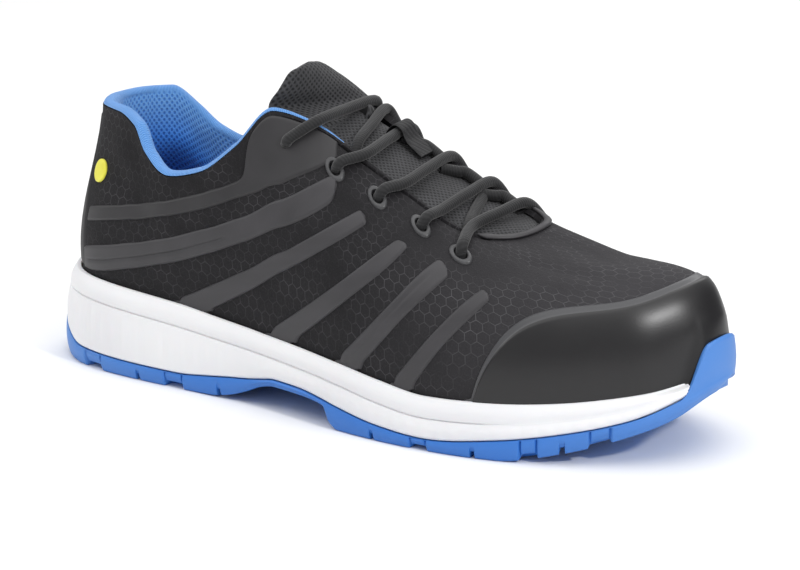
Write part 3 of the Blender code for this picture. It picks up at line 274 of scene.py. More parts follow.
# Side stripes as the photograph shows them, and how much their upper ends widen
STRIPE_EDGES = {
    # name: first edge turn, first edge climb, second edge turn, second edge climb
    "stripe_2": (
        (0.0810, 0.000, 0.0810, 0.133),
        (0.0960, 0.012, 0.0960, 0.166),
        (0.1050, 0.025, 0.1050, 0.185),
        (0.1150, 0.049, 0.1150, 0.210),
        (0.1250, 0.077, 0.1250, 0.239),
        (0.1350, 0.113, 0.1350, 0.281),
        (0.1450, 0.158, 0.1450, 0.339),
        (0.1550, 0.214, 0.1550, 0.404),
        (0.1650, 0.278, 0.1650, 0.476),
        (0.1750, 0.330, 0.1750, 0.525),
        (0.1850, 0.372, 0.1850, 0.560),
        (0.1950, 0.408, 0.1950, 0.583),
        (0.2050, 0.423, 0.2050, 0.578),
        (0.2160, 0.424, 0.2160, 0.559),
        (0.2220, 0.414, 0.2220, 0.538),
        (0.2300, 0.424, 0.2300, 0.540),
        (0.2380, 0.470, 0.2380, 0.584),
        (0.2460, 0.524, 0.2460, 0.640),
        (0.2540, 0.594, 0.2540, 0.711),
        (0.2600, 0.669, 0.2600, 0.783),
    ),
    "stripe_3": (
        (0.1826, -0.600, 0.1618, -0.488),
        (0.1857, -0.278, 0.1658, -0.172),
        (0.1888, 0.007, 0.1698, 0.020),
        (0.1931, 0.046, 0.1752, 0.067),
        (0.1995, 0.095, 0.1831, 0.128),
        (0.2077, 0.145, 0.1932, 0.197),
        (0.2177, 0.188, 0.2050, 0.253),
        (0.2285, 0.222, 0.2174, 0.286),
        (0.2392, 0.286, 0.2297, 0.309),
        (0.2493, 0.357, 0.2415, 0.380),
        (0.2592, 0.439, 0.2528, 0.460),
        (0.2686, 0.534, 0.2639, 0.561),
        (0.2775, 0.639, 0.2744, 0.680),
    ),
    "stripe_4": (
        (0.2305, -0.600, 0.2151, -0.600),
        (0.2328, -0.388, 0.2176, -0.382),
        (0.2350, -0.067, 0.2200, -0.051),
        (0.2383, 0.017, 0.2235, 0.019),
        (0.2431, 0.047, 0.2288, 0.049),
        (0.2495, 0.090, 0.2359, 0.090),
        (0.2574, 0.148, 0.2446, 0.146),
        (0.2656, 0.218, 0.2539, 0.212),
        (0.2732, 0.293, 0.2629, 0.287),
        (0.2804, 0.368, 0.2713, 0.367),
        (0.2872, 0.445, 0.2794, 0.450),
        (0.2936, 0.531, 0.2872, 0.535),
        (0.2997, 0.630, 0.2948, 0.631),
    ),
    "stripe_5": (
        (0.2702, -0.600, 0.2567, -0.600),
        (0.2717, -0.410, 0.2586, -0.424),
        (0.2732, -0.082, 0.2606, -0.083),
        (0.2754, 0.019, 0.2634, 0.020),
        (0.2787, 0.054, 0.2674, 0.056),
        (0.2830, 0.100, 0.2726, 0.106),
        (0.2882, 0.156, 0.2787, 0.170),
        (0.2937, 0.219, 0.2851, 0.239),
        (0.2992, 0.284, 0.2913, 0.309),
        (0.3047, 0.352, 0.2976, 0.383),
        (0.3102, 0.424, 0.3039, 0.463),
        (0.3159, 0.503, 0.3104, 0.550),
        (0.3220, 0.591, 0.3176, 0.649),
    ),
    "stripe_6": (
        (0.2991, -0.600, 0.2879, -0.600),
        (0.3001, -0.404, 0.2893, -0.397),
        (0.3012, -0.115, 0.2907, -0.084),
        (0.3027, 0.015, 0.2927, 0.018),
        (0.3050, 0.044, 0.2957, 0.051),
        (0.3082, 0.084, 0.2996, 0.095),
        (0.3122, 0.133, 0.3044, 0.149),
        (0.3168, 0.189, 0.3097, 0.210),
        (0.3217, 0.246, 0.3151, 0.272),
        (0.3268, 0.303, 0.3208, 0.336),
        (0.3322, 0.361, 0.3270, 0.401),
        (0.3381, 0.422, 0.3339, 0.465),
        (0.3444, 0.486, 0.3416, 0.531),
    ),
}
TIP_WIDER = 0.30
STRIPE_STEPS = 140
STRIPE_ROUNDS = 40

# Lines pressed into the stripes
STRIPE_LINES = {
    # share across, share along from and to, half width, depth
    "stripe_2": ((0.42, 0.0, 0.62, 0.0004, 0.0007), (0.62, 0.0, 0.55, 0.0003, 0.0004)),
    "stripe_5": ((0.62, 0.05, 0.92, 0.0004, 0.0006),),
}

# Panel of film from the heel up to the top eyelets
STAY_EDGES = (
    # turn, low climb, high climb
    (0.0810, 0.284, 0.377),
    (0.0960, 0.314, 0.407),
    (0.1050, 0.332, 0.426),
    (0.1150, 0.358, 0.452),
    (0.1250, 0.387, 0.484),
    (0.1350, 0.432, 0.535),
    (0.1450, 0.496, 0.612),
    (0.1550, 0.567, 0.688),
    (0.1650, 0.641, 0.768),
    (0.1750, 0.682, 0.812),
    (0.1850, 0.704, 0.834),
    (0.1950, 0.717, 0.842),
    (0.2050, 0.700, 0.810),
    (0.2120, 0.682, 0.795),
    (0.2155, 0.667, 0.815),
    (0.2170, 0.659, 0.950),
    (0.2220, 0.634, 0.978),
    (0.2300, 0.629, 0.982),
    (0.2380, 0.673, 0.982),
    (0.2460, 0.730, 0.982),
    (0.2540, 0.808, 0.982),
    (0.2590, 0.880, 0.980),
)
STAY_STEPS = 260
STAY_ROUNDS = 6

# Rear edge of the toe cap
CAP_EDGE = (
    # turn, climb, from the outer side to the middle of the toe
    (0.3281, -0.100),
    (0.3335, 0.077),
    (0.3388, 0.161),
    (0.3449, 0.246),
    (0.3527, 0.319),
    (0.3626, 0.370),
    (0.3741, 0.399),
    (0.3865, 0.412),
    (0.3996, 0.414),
    (0.4136, 0.413),
    (0.4288, 0.415),
    (0.4478, 0.424),
    (0.4691, 0.435),
    (0.5000, 0.440),
)

# Toe cap: its bevelled band and the share of its wall at the edge, over the band and past the bevel,
# the rounds that calm its face, and its swell towards the bumper
CAP_BAND = 0.0036
CAP_BEVEL = 0.0016
CAP_STEPS = (0.30, 0.12, 0.58)
CAP_ROUNDS = 220
CAP_TURNS = 300
EDGE_ROUNDS = 20
CAP_FOOT = -0.500
BUMPER_FILL = 0.0026
FILL_HALF = 0.0060
FILL_FADE = 0.0440
FILL_ABOVE = 0.0110
FILL_DOWN = 0.0200

# Heel strip: how far it reaches round each side
HEEL_STRIP = (
    # climb, half turn
    (0.020, 0.0855),
    (0.300, 0.0770),
    (0.600, 0.0600),
    (0.930, 0.0470),
)

# Heel badge: its middle as turn and climb, and its width
BADGE_PLACE = (0.0833, 0.600)
BADGE = 0.0098
DISC_COUNT = 64

# Padded lining: its thickness as shares of the collar pad, at the heel and sides and along the throat
LINING = (
    # climb, collar, throat
    (-0.45, 0.24, 0.20),
    (0.10, 0.26, 0.20),
    (0.35, 0.34, 0.20),
    (0.55, 0.62, 0.19),
    (0.75, 0.96, 0.18),
    (0.90, 0.98, 0.20),
    (1.00, 0.86, 0.20),
)

# Where the lining ends and thins, and its rolled lip over the edge of the upper
LINING_END = 0.2620
LINING_SHORT = 0.016
LINING_THIN = (0.1950, 0.2350)
COLLAR_PAD = 0.0065
PAD_THIN = 0.45
COLLAR_LIP = 0.0022
PIPING_LIP = 0.05
PIPING_OUT = -0.0002
LINING_STEPS = 330
LINING_ROWS = 46

# Eyelets from the collar to the toe. The inner row stands a little further forward.
EYELETS = (
    # outer turn, outer climb, inner turn as mirrored, inner climb
    (0.2350, 0.840, 0.2440, 0.860),
    (0.2583, 0.805, 0.2670, 0.820),
    (0.2817, 0.800, 0.2905, 0.810),
    (0.3058, 0.790, 0.3140, 0.800),
    (0.3292, 0.735, 0.3375, 0.770),
)
HOLE = 0.0056
RING_WIDE = 0.0098
EYELET_HEIGHT = 0.0011
RING_COUNT = 48

# Turns of the tongue's sections along the throat, and how far its wings reach under the quarters
TONGUE_TURNS = (0.3700, 0.3450, 0.3200, 0.2950, 0.2700, 0.2480)
TONGUE_WING = (0.80, 0.92)
INNER_WING = (0.85, 0.985)
TONGUE_FRONT = 0.80

# Tongue: its crown over the gap, its lift on the inner side, its padding and the seam along its sides
TONGUE_CROWN = 0.0020
TONGUE_LIFT = 0.0042
TONGUE_PAD = 0.0042
TONGUE_SEAM = 0.0004
TONGUE_GRID = (130, 60)
NORMAL_ROUNDS = 60

# Free end of the tongue as the photograph shows it: outer and inner side of each row, and its crown
TONGUE_END = (
    # outer side x, y, z, inner side x, y, z, crown
    (-0.0241, -0.0195, 0.1060, -0.0140, 0.0262, 0.1080, 0.0018),
    (-0.0395, -0.0180, 0.1133, -0.0196, 0.0250, 0.1122, 0.0020),
    (-0.0350, -0.0172, 0.1195, -0.0245, 0.0225, 0.1169, 0.0024),
    (-0.0317, -0.0154, 0.1256, -0.0283, 0.0190, 0.1209, 0.0020),
    (-0.0305, -0.0115, 0.1288, -0.0302, 0.0145, 0.1240, 0.0012),
    (-0.0308, -0.0075, 0.1300, -0.0305, 0.0098, 0.1266, 0.0006),
    (-0.0309, -0.0020, 0.1306, -0.0308, 0.0035, 0.1298, 0.0000),
)

# Roll at the front of the throat
ROLL_TURNS = (0.346, 0.645)
ROLL_CLIMB = 0.984
ROLL_COUNT = 160
PIPING_HALF = 0.0016

# Where each bar of the lace crosses the two edges of the throat
LACE_CROSSINGS = (
    # near edge turn, far edge turn as mirrored
    (0.2490, 0.2500),
    (0.2735, 0.2710),
    (0.2955, 0.2950),
    (0.3165, 0.3200),
    (0.3415, 0.3620),
)

# Lace: its width, and how a bar leaves its holes and stands over the edges, on the outer and inner side
LACE = 0.0044
LACE_OVER = (0.0016, 0.0032)
LACE_OUT = (0.0021, 0.0009)
LACE_RISE = ((0.12, 0.56), (-0.10, 0.20))
LACE_ARCH = 0.0006
PATH_STEPS = 14
CORD_SIDES = 14

# Webbing loop: its bar, where it sits on it, half its width and its line from the side
LOOP_BAR = 2
KEEPER_SHARE = 0.80
KEEPER_HALF = 0.0053
KEEPER = (
    # along the tongue, over the middle of the bar
    (-0.0040, -0.0022),
    (-0.0036, 0.0000),
    (-0.0022, 0.0024),
    (0.0000, 0.0031),
    (0.0022, 0.0025),
    (0.0040, 0.0010),
    (0.0062, -0.0004),
    (0.0100, -0.0012),
    (0.0145, -0.0020),
)

# Camera and lights. The dark side is a direction that the sky is darker in.
CAMERA_ANGLES = (34.1, 14.8)
CAMERA_DISTANCE = 1.3
CAMERA_TARGET = (0.0088, 0.0, 0.0456)
CAMERA_LENS = 150.4
WORLD_STRENGTH = 0.80
WORLD_LOW = (0.62, 0.62, 0.63)
WORLD_HIGH = (1.0, 1.0, 1.0)
DARK_SIDE = (0.738, 0.671, 0.07)
DARK_TONE = (0.30, 0.30, 0.31)
LIGHTS = (
    # name, place, size, power
    ("overhead", (0.0, -0.2, 1.5), 2.4, 13.0),
    ("key", (1.062, -0.317, 0.745), 0.11, 6.2),
    ("left", (-1.0, -0.35, 0.75), 0.6, 2.0),
    ("back", (-0.1, 1.0, 0.9), 0.8, 2.5),
)

# Pitches of the patterns in the materials, in metres
SHELL_PITCH = 0.0046
NET_DRIFT = 0.00035
HEX_LINE = 0.455
SPACER_PITCH = 0.0020
SPACER_DEPTH = 0.0700
RIB_PITCH = 0.0008
WAVE_UNIT = 3.18310

# Colours, in linear light
SHELL_COLOUR = (0.0085, 0.0080, 0.0092)
SHELL_LIGHT = (0.0150, 0.0142, 0.0160)
SHELL_THREAD = (0.070, 0.067, 0.073)
# Thread tone painted lit: the forefoot's threads, paler where the light from above falls
SHELL_THREAD_PAINTED_LIT = (0.125, 0.125, 0.130)
FILM_COLOUR = (0.031, 0.0298, 0.0325)
FILM_LIGHT = (0.046, 0.044, 0.0485)
STAY_COLOUR = (0.0190, 0.0182, 0.0200)
STAY_LIGHT = (0.0280, 0.0268, 0.0292)
CAP_COLOUR = (0.0075, 0.0070, 0.0080)
CAP_LIGHT = (0.0105, 0.0100, 0.0110)
CAP_BAND_COLOUR = (0.060, 0.060, 0.064)
FOAM_COLOUR = (0.82, 0.82, 0.83)
FOAM_SHADE = (0.77, 0.77, 0.79)
RUBBER_COLOUR = (0.030, 0.170, 0.560)
RUBBER_DEEP = (0.028, 0.120, 0.420)
RUBBER_LIGHT = (0.075, 0.230, 0.600)
SPACER_COLOUR = (0.045, 0.225, 0.700)
# Lining: a painted lit tone, the roll's own pale tone, and painted shade deeper in and in the eyes
SPACER_PAINTED_LIT = (0.150, 0.370, 0.760)
SPACER_COLOUR_PALE = (0.085, 0.270, 0.680)
SPACER_PAINTED_SHADE = (0.002, 0.060, 0.340)
SPACER_EYE_PAINTED_SHADE = (0.002, 0.035, 0.210)
TONGUE_COLOUR = (0.038, 0.038, 0.041)
TONGUE_LIGHT = (0.066, 0.066, 0.071)
TONGUE_DEEP = (0.005, 0.005, 0.0055)
CORD_COLOUR = (0.009, 0.009, 0.0098)
CORD_LIGHT = (0.024, 0.024, 0.026)
WEBBING_LIGHT = (0.030, 0.030, 0.032)
RING_COLOUR = (0.040, 0.040, 0.043)
RING_LIGHT = (0.060, 0.060, 0.063)
DISC_COLOUR = (0.840, 0.800, 0.090)
DISC_SHADE = (0.760, 0.700, 0.060)
FELT_COLOUR = (0.050, 0.150, 0.440)
FELT_DEEP = (0.015, 0.060, 0.240)
FLOOR_COLOUR = (0.90, 0.90, 0.90)
FLOOR_SHADE = (0.88, 0.88, 0.88)


def smooth(knots, values, x):
    """Monotone cubic through the knots, so that no value overshoots its row."""
    knots, values, x = (np.asarray(v, float) for v in (knots, values, x))
    step = np.diff(knots)
    slope = np.diff(values) / step
    left, right = slope[:-1], slope[1:]
    same = left * right > 0
    weight = (2 * step[1:] + step[:-1], step[1:] + 2 * step[:-1])
    safe = np.where(same, weight[0] * right + weight[1] * left, 1.0)
    inner = np.where(same, (weight[0] + weight[1]) * left * right / safe, 0.0)
    tangent = np.concatenate([[slope[0]], inner, [slope[-1]]])
    x = np.clip(x, knots[0], knots[-1])
    i = np.clip(np.searchsorted(knots, x, side="right") - 1, 0, len(step) - 1)
    h = step[i]
    s = (x - knots[i]) / h
    return (
        values[i] * (1 + 2 * s) * (1 - s) ** 2
        + tangent[i] * h * s * (1 - s) ** 2
        + values[i + 1] * s * s * (3 - 2 * s)
        + tangent[i + 1] * h * s * s * (s - 1)
    )


def smooth_round(knots, values, turn):
    """The same curve for a table that closes on itself after one turn."""
    knots = np.asarray(knots, float)
    values = np.asarray(values, float)
    wide = np.concatenate([knots - 1, knots, knots + 1])
    return smooth(wide, np.tile(values, 3), np.asarray(turn, float) % 1.0)


def looked_up(table, column, at):
    """A column of a table, smooth through its rows. The first column holds the places of the rows."""
    rows = np.array(table, float)
    return smooth(rows[:, 0], rows[:, column], at)


def turn_of(along, side):
    """The turn of a point at this share of the length: side -1 is the outer side, +1 the inner side."""
    turn = np.arccos(1 - 2 * np.clip(np.asarray(along, float), 0, 1)) / (2 * math.pi)
    return turn if side < 0 else 1 - turn


def along_of(turn):
    return (1 - np.cos(2 * math.pi * np.asarray(turn, float))) / 2


def soft(share):
    """A soft step from 0 to 1."""
    share = np.clip(share, 0, 1)
    return share * share * (3 - 2 * share)


def softer(share):
    """A step from 0 to 1 that bends in and out without a kink in a highlight."""
    share = np.clip(share, 0, 1)
    return share**3 * (10 - 15 * share + 6 * share**2)


def fade(value, start, end):
    """A soft step over a value, from 0 at the start to 1 at the end."""
    return soft((value - start) / (end - start))


def from_heel(turn):
    """A turn counted from the heel, alike on both sides."""
    return np.minimum(turn % 1.0, 1 - turn % 1.0)


def mirrored(turn, side):
    """A turn given on the outer side, taken to the side asked for."""
    return turn if side < 0 else 1 - turn


SIDES = ((-1, "outer"), (1, "inner"))


def periodic_spline(knots, values):
    """Second derivatives of the cubic spline through a table that closes on itself."""
    count = len(knots)
    step = np.diff(np.append(knots, knots[0] + 1))
    slope = np.diff(np.append(values, values[0])) / step
    matrix = np.zeros((count, count))
    for i in range(count):
        before = (i - 1) % count
        matrix[i, before] += step[before]
        matrix[i, i] += 2 * (step[before] + step[i])
        matrix[i, (i + 1) % count] += step[i]
    right = 6 * (slope - np.roll(slope, 1))
    return np.linalg.solve(matrix, right)


def outline_table():
    rows = [(0.0, 0.0)]
    rows += [(float(turn_of(along, -1)), -outer) for along, outer, _ in OUTLINE]
    rows += [(0.5, TOE_TIP_SIDE)]
    rows += [(float(turn_of(along, 1)), inner) for along, _, inner in reversed(OUTLINE)]
    return np.array(rows)


OUTLINE_KNOTS, OUTLINE_SIDES = outline_table().T
OUTLINE_BEND = periodic_spline(OUTLINE_KNOTS, OUTLINE_SIDES)


def outline(turn, out=0.0):
    """Points of the sole's outline, moved outwards by a distance, as arrays of x and y."""
    turn = np.asarray(turn, float)

    def place(at):
        at = at % 1.0
        knots = np.append(OUTLINE_KNOTS, 1.0)
        i = np.clip(np.searchsorted(knots, at, side="right") - 1, 0, len(OUTLINE_KNOTS) - 1)
        j = (i + 1) % len(OUTLINE_KNOTS)
        h = knots[i + 1] - knots[i]
        a, b = (knots[i + 1] - at) / h, (at - knots[i]) / h
        side = a * OUTLINE_SIDES[i] + b * OUTLINE_SIDES[j]
        side += ((a**3 - a) * OUTLINE_BEND[i] + (b**3 - b) * OUTLINE_BEND[j]) * h * h / 6
        return LENGTH * (along_of(at) - 0.5), side * BALL_WIDTH / 2

    x, y = place(turn)
    x_next, y_next = place(turn + 1e-4)
    x_last, y_last = place(turn - 1e-4)
    dx, dy = x_next - x_last, y_next - y_last
    size = np.hypot(dx, dy)
    return x + out * dy / size, y - out * dx / size


def outward(turn):
    """The unit direction out of the outline, as arrays of x and y."""
    inner, outer = outline(turn), outline(turn, 1.0)
    return outer[0] - inner[0], outer[1] - inner[1]


def rim_height(turn):
    """Height of the rim where the upper meets it."""
    return looked_up(CUP_HEIGHTS, 1, along_of(turn)) * RIM_HEIGHT


def floor_height(turn):
    """Height of the floor of the cup."""
    return looked_up(CUP_HEIGHTS, 2, along_of(turn)) * RIM_HEIGHT


def side_height(column, turn):
    """Height of a line along the side of the sole."""
    return looked_up(SIDE_HEIGHTS, column, along_of(turn)) * RIM_HEIGHT


def sole_lean(column, turn):
    """How far in from the outline the wall of the sole stands at a line along it."""
    return looked_up(SOLE_LEAN, column, along_of(turn)) * RIM_WALL


def side_shelf(turn):
    """Height of the joint between outsole and midsole inside their walls."""
    return np.minimum(side_height(SEAM, turn), floor_height(turn) - SHELF_WALL)


def past_toe(turn):
    """How far to the inner side of the toe's tip a place on the outline lies."""
    return outline(turn)[1] - TOE_TIP_SIDE * BALL_WIDTH / 2


def bumper_share(turn, margin, ramp):
    """1 over the toe bumper and 0 away from it. The margin widens it, in metres along the outline."""
    share = soft((BUMPER_HALF + margin + ramp - np.abs(past_toe(turn))) / ramp)
    return np.where(outline(turn)[0] > 0, share, 0.0)


def feather_inset(turn):
    """How far in from the outline the upper's outer face stands at the rim."""
    behind = BUMPER_WALL + FIT_GAP * 1.5 + sole_lean(SEAM, turn)
    toe = bumper_share(turn, BUMPER_CLEAR, FEATHER_RAMP) * behind
    return np.maximum(sole_lean(RIM, turn), toe) + RIM_WALL + FIT_GAP


def edge_table():
    outer = [(float(turn_of(row[0], -1)), row[1], -row[2], *row[3:]) for row in TOP_EDGE_OUTER]
    inner = [(float(turn_of(row[0], 1)), *row[1:]) for row in reversed(TOP_EDGE_INNER)]
    toe = (0.5, TOP_EDGE_TOE[1], -TOP_EDGE_TOE[2], *TOP_EDGE_TOE[3:])
    return np.array([TOP_EDGE_HEEL, *outer, toe, *inner])


EDGE_TABLE = edge_table()


def edge_column(column, turn):
    return smooth_round(EDGE_TABLE[:, 0], EDGE_TABLE[:, column], turn)


def upper_base(turn, climb):
    """Points on the outer face of the upper: a cubic rail from the feather line up to the top edge."""
    turn, climb = np.broadcast_arrays(np.asarray(turn, float), np.asarray(climb, float))
    fx, fy = outline(turn, -feather_inset(turn))
    fz = rim_height(turn)
    tx = LENGTH * (edge_column(1, turn) - 0.5)
    ty = edge_column(2, turn) * BALL_WIDTH / 2
    tz = edge_column(3, turn) * COLLAR_HEIGHT
    ox, oy = outward(turn)
    belly, full, arch, drop = (edge_column(c, turn) for c in (4, 5, 6, 7))
    belly = belly * BELLY
    rise = tz - fz
    first = np.stack([fx + ox * belly, fy + oy * belly, fz + rise * full], -1)
    second = np.stack([tx + (fx - tx) * arch, ty + (fy - ty) * arch, tz - rise * drop], -1)
    low = np.stack([fx, fy, fz], -1)
    high = np.stack([tx, ty, tz], -1)
    s = np.clip(climb, 0, None)[..., None]
    point = low * (1 - s) ** 3 + 3 * first * s * (1 - s) ** 2 + 3 * second * s**2 * (1 - s) + high * s**3
    point[..., 2] += np.clip(climb, None, 0) * SKIRT
    return point


def upper_normal(turn, climb):
    """The direction out of the upper, from its neighbours on both sides."""
    step = 2e-3
    round_it = upper_base(np.asarray(turn) + step, climb) - upper_base(np.asarray(turn) - step, climb)
    up_it = upper_base(turn, np.asarray(climb) + step * 4) - upper_base(turn, np.asarray(climb) - step * 4)
    normal = np.cross(round_it, up_it)
    return normal / np.linalg.norm(normal, axis=-1, keepdims=True)


def upper(turn, climb, out=0.0):
    """Points at a distance out of the upper's outer face."""
    out = np.asarray(out, float)[..., None]
    return upper_base(turn, climb) + upper_normal(turn, climb) * out


def run_of(path):
    """The distance along a path to each of its points."""
    return np.concatenate([[0], np.cumsum(np.linalg.norm(np.diff(path, axis=0), axis=1))])


def span_table():
    """Lengths in metres: round the upper at half its height, and up it from rim to edge, by turn."""
    turns = np.linspace(0, 1, 241)
    middle = upper_base(turns, np.full(turns.shape, 0.5))
    rails = upper_base(turns[:, None], np.linspace(0, 1, 17)[None, :])
    up_it = np.linalg.norm(np.diff(rails, axis=1), axis=2).sum(axis=1)
    return turns, run_of(middle), up_it


SPAN_TURNS, SPAN_ROUND, SPAN_UP = span_table()


def span(turn, climb):
    """A place on the upper as lengths round it and up it, for patterns and creases."""
    whole = np.floor(turn)
    round_it = np.interp(turn - whole, SPAN_TURNS, SPAN_ROUND) + whole * SPAN_ROUND[-1]
    return round_it, climb * np.interp(turn - whole, SPAN_TURNS, SPAN_UP)


def relief(turn, climb):
    """How far the listed creases lift the upper: ridges above zero, troughs below."""
    turn, climb = np.broadcast_arrays(np.asarray(turn, float), np.asarray(climb, float))
    u, v = span(turn % 1.0, climb)
    total = np.zeros(turn.shape)
    for first_turn, first_climb, last_turn, last_climb, half, height in CREASES:
        start = np.array(span(first_turn, first_climb))
        run = np.array(span(last_turn, last_climb)) - start
        share = ((u - start[0]) * run[0] + (v - start[1]) * run[1]) / (run @ run)
        share = np.clip(share, 0, 1)
        away = np.hypot(u - start[0] - share * run[0], v - start[1] - share * run[1])
        total += height * np.exp(-((away / half) ** 2)) * (0.35 + 0.65 * np.sin(math.pi * share))
    return total * fade(climb, *RELIEF_FOOT)


def skin(turn, climb, out=0.0):
    """Points at a distance out of the creased face of the upper."""
    return upper(turn, climb, np.asarray(out, float) + relief(turn, climb))


def over_edge(turn, over, out):
    """Points past the top edge, in line with the rail that ends there."""
    turn = np.asarray(turn, float)
    below = np.full_like(turn, BELOW_EDGE)
    edge = upper_base(turn, np.ones_like(turn))
    along = edge - upper_base(turn, below)
    along /= np.linalg.norm(along, axis=-1, keepdims=True)
    normal = upper_normal(turn, below)
    out = np.asarray(out) + relief(turn, np.ones_like(turn))
    return edge + along * np.asarray(over)[..., None] + normal * out[..., None]


def grid_faces(rows, columns, close_rows=False, close_columns=False):
    """Faces of a grid of points laid out row by row."""
    i = np.arange(rows if close_rows else rows - 1)[:, None]
    j = np.arange(columns if close_columns else columns - 1)[None, :]
    k = (i + 1) % rows
    m = (j + 1) % columns
    return np.stack([i * columns + j, i * columns + m, k * columns + m, k * columns + j], -1).reshape(-1, 4)


def lengths(grid):
    """For a grid of points: the distance along the rows and along the columns, as texture places."""
    across = np.linalg.norm(np.diff(grid, axis=1), axis=2)
    along = np.linalg.norm(np.diff(grid, axis=0), axis=2)
    v = np.concatenate([np.zeros((grid.shape[0], 1)), np.cumsum(across, axis=1)], axis=1)
    u = np.concatenate([np.zeros((1, grid.shape[1])), np.cumsum(along, axis=0)], axis=0)
    return np.stack([u, v], -1)


def mesh_of(name, points, faces, places, place_faces, finish, outwards=True):
    """An object of these four-cornered faces. Places are its texture coordinates, in metres."""
    points, places = points.reshape(-1, 3), places.reshape(-1, 2)
    mesh = bpy.data.meshes.new(name)
    mesh.vertices.add(len(points))
    mesh.vertices.foreach_set("co", np.ascontiguousarray(points, np.float32).ravel())
    mesh.loops.add(faces.size)
    mesh.loops.foreach_set("vertex_index", faces.astype(np.int32).ravel())
    mesh.polygons.add(len(faces))
    mesh.polygons.foreach_set("loop_start", np.arange(len(faces), dtype=np.int32) * 4)
    mesh.update(calc_edges=True)
    layer = mesh.uv_layers.new(name="lengths")
    layer.data.foreach_set("uv", np.ascontiguousarray(places[place_faces.ravel()], np.float32).ravel())
    mesh.validate()
    work = bmesh.new()
    work.from_mesh(mesh)
    bmesh.ops.dissolve_degenerate(work, edges=work.edges, dist=1e-6)
    if outwards:
        bmesh.ops.recalc_face_normals(work, faces=work.faces)
    work.to_mesh(mesh)
    work.free()
    mesh.shade_smooth()
    mesh.set_sharp_from_angle(angle=math.radians(40))
    mesh.materials.append(finish)
    obj = bpy.data.objects.new(name, mesh)
    bpy.context.scene.collection.objects.link(obj)
    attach(obj, "root")
    return obj


def body_of(name, outer, inner, places, finish, close_rows=False):
    """A closed body between two grids of points. With close_rows, places has one row more than the grids."""
    rows, columns = outer.shape[:2]
    size = rows * columns
    face = grid_faces(rows, columns, close_rows)
    place = grid_faces(places.shape[0], columns)
    edges, place_edges = [], []
    steps = rows if close_rows else rows - 1
    for i in range(steps):
        k = (i + 1) % rows
        for j in (0, columns - 1):
            edges.append((i * columns + j, k * columns + j))
            place_edges.append((i * columns + j, (i + 1) * columns + j))
    if not close_rows:
        for j in range(columns - 1):
            for i in (0, (rows - 1) * columns):
                edges.append((i + j, i + j + 1))
                place_edges.append((i + j, i + j + 1))
    edge = np.array(edges)
    place_edge = np.array(place_edges)
    rim = np.stack([edge[:, 0], edge[:, 1], edge[:, 1] + size, edge[:, 0] + size], -1)
    place_rim = np.stack([place_edge[:, 0], place_edge[:, 1], place_edge[:, 1], place_edge[:, 0]], -1)
    points = np.concatenate([outer.reshape(-1, 3), inner.reshape(-1, 3)])
    faces = np.concatenate([face, face[:, ::-1] + size, rim])
    place_faces = np.concatenate([place, place[:, ::-1], place_rim])
    return mesh_of(name, points, faces, places, place_faces, finish)


def rings_of(name, rings, finish):
    """A closed body of rings from its bottom to its top, each end capped straight across."""
    grid = np.stack(rings, 1)
    count, levels = grid.shape[:2]
    wrapped = np.concatenate([grid, grid[:1]])
    places = lengths(wrapped).reshape(-1, 2)
    faces = grid_faces(count, levels, close_rows=True)
    place_faces = grid_faces(count + 1, levels)
    caps = []
    for level in (0, levels - 1):
        for i in range(count // 2):
            corners = (i, i + 1, (count - i - 1) % count, (count - i) % count)
            caps.append([corner * levels + level for corner in corners])
    caps = np.array(caps)
    flat = np.concatenate([places, grid.reshape(-1, 3)[:, :2]])
    faces = np.concatenate([faces, caps])
    place_faces = np.concatenate([place_faces, caps + len(places)])
    return mesh_of(name, grid, faces, flat, place_faces, finish)


def face_out(piece, way):
    """Turns the faces of a sheet over if the middle one looks away from this direction."""
    faces = piece.data.polygons
    if faces[len(faces) // 2].normal.dot(Vector(way)) < 0:
        piece.data.flip_normals()


def film(name, turn, climb, wall, finish, grooves=()):
    """A film laid on the upper: its edges sink into the upper, and grooves run along its rows."""
    places = lengths(skin(turn, climb))
    low, left = places[..., 0], places[..., 1]
    edge = np.minimum(np.minimum(left, left[:, -1:] - left), np.minimum(low, low[-1:] - low))
    height = -FILM_SINK + (wall + FILM_SINK) * np.sqrt(soft(edge / FILM_BEVEL))
    share = left / np.maximum(left[:, -1:], 1e-9)
    run = low / np.maximum(low[-1:], 1e-9)
    for place, start, end, half, depth in grooves:
        line = np.exp(-(((share - place) * left[:, -1:] / half) ** 2))
        height = height - depth * line * soft((run - start) / 0.05) * soft((end - run) / 0.05)
    points = skin(turn, climb, height)
    faces = grid_faces(*turn.shape)
    made = mesh_of(name, points, faces, places, faces, finish, outwards=False)
    middle = tuple(count // 2 for count in turn.shape)
    face_out(made, upper_normal(turn[middle], climb[middle]))
    return made


def closed_sheet(name, rings, finish, places=None, flipped=False, outwards=True):
    """A sheet of rings, each closed on itself. Its places are its lengths unless others are given."""
    levels, count = rings.shape[:2]
    if places is None:
        places = lengths(np.concatenate([rings, rings[:, :1]], axis=1))
    faces = grid_faces(levels, count, close_columns=True)
    place_faces = grid_faces(levels, count + 1)
    if flipped:
        faces, place_faces = faces[:, ::-1], place_faces[:, ::-1]
    return mesh_of(name, rings, faces, places, place_faces, finish, outwards)


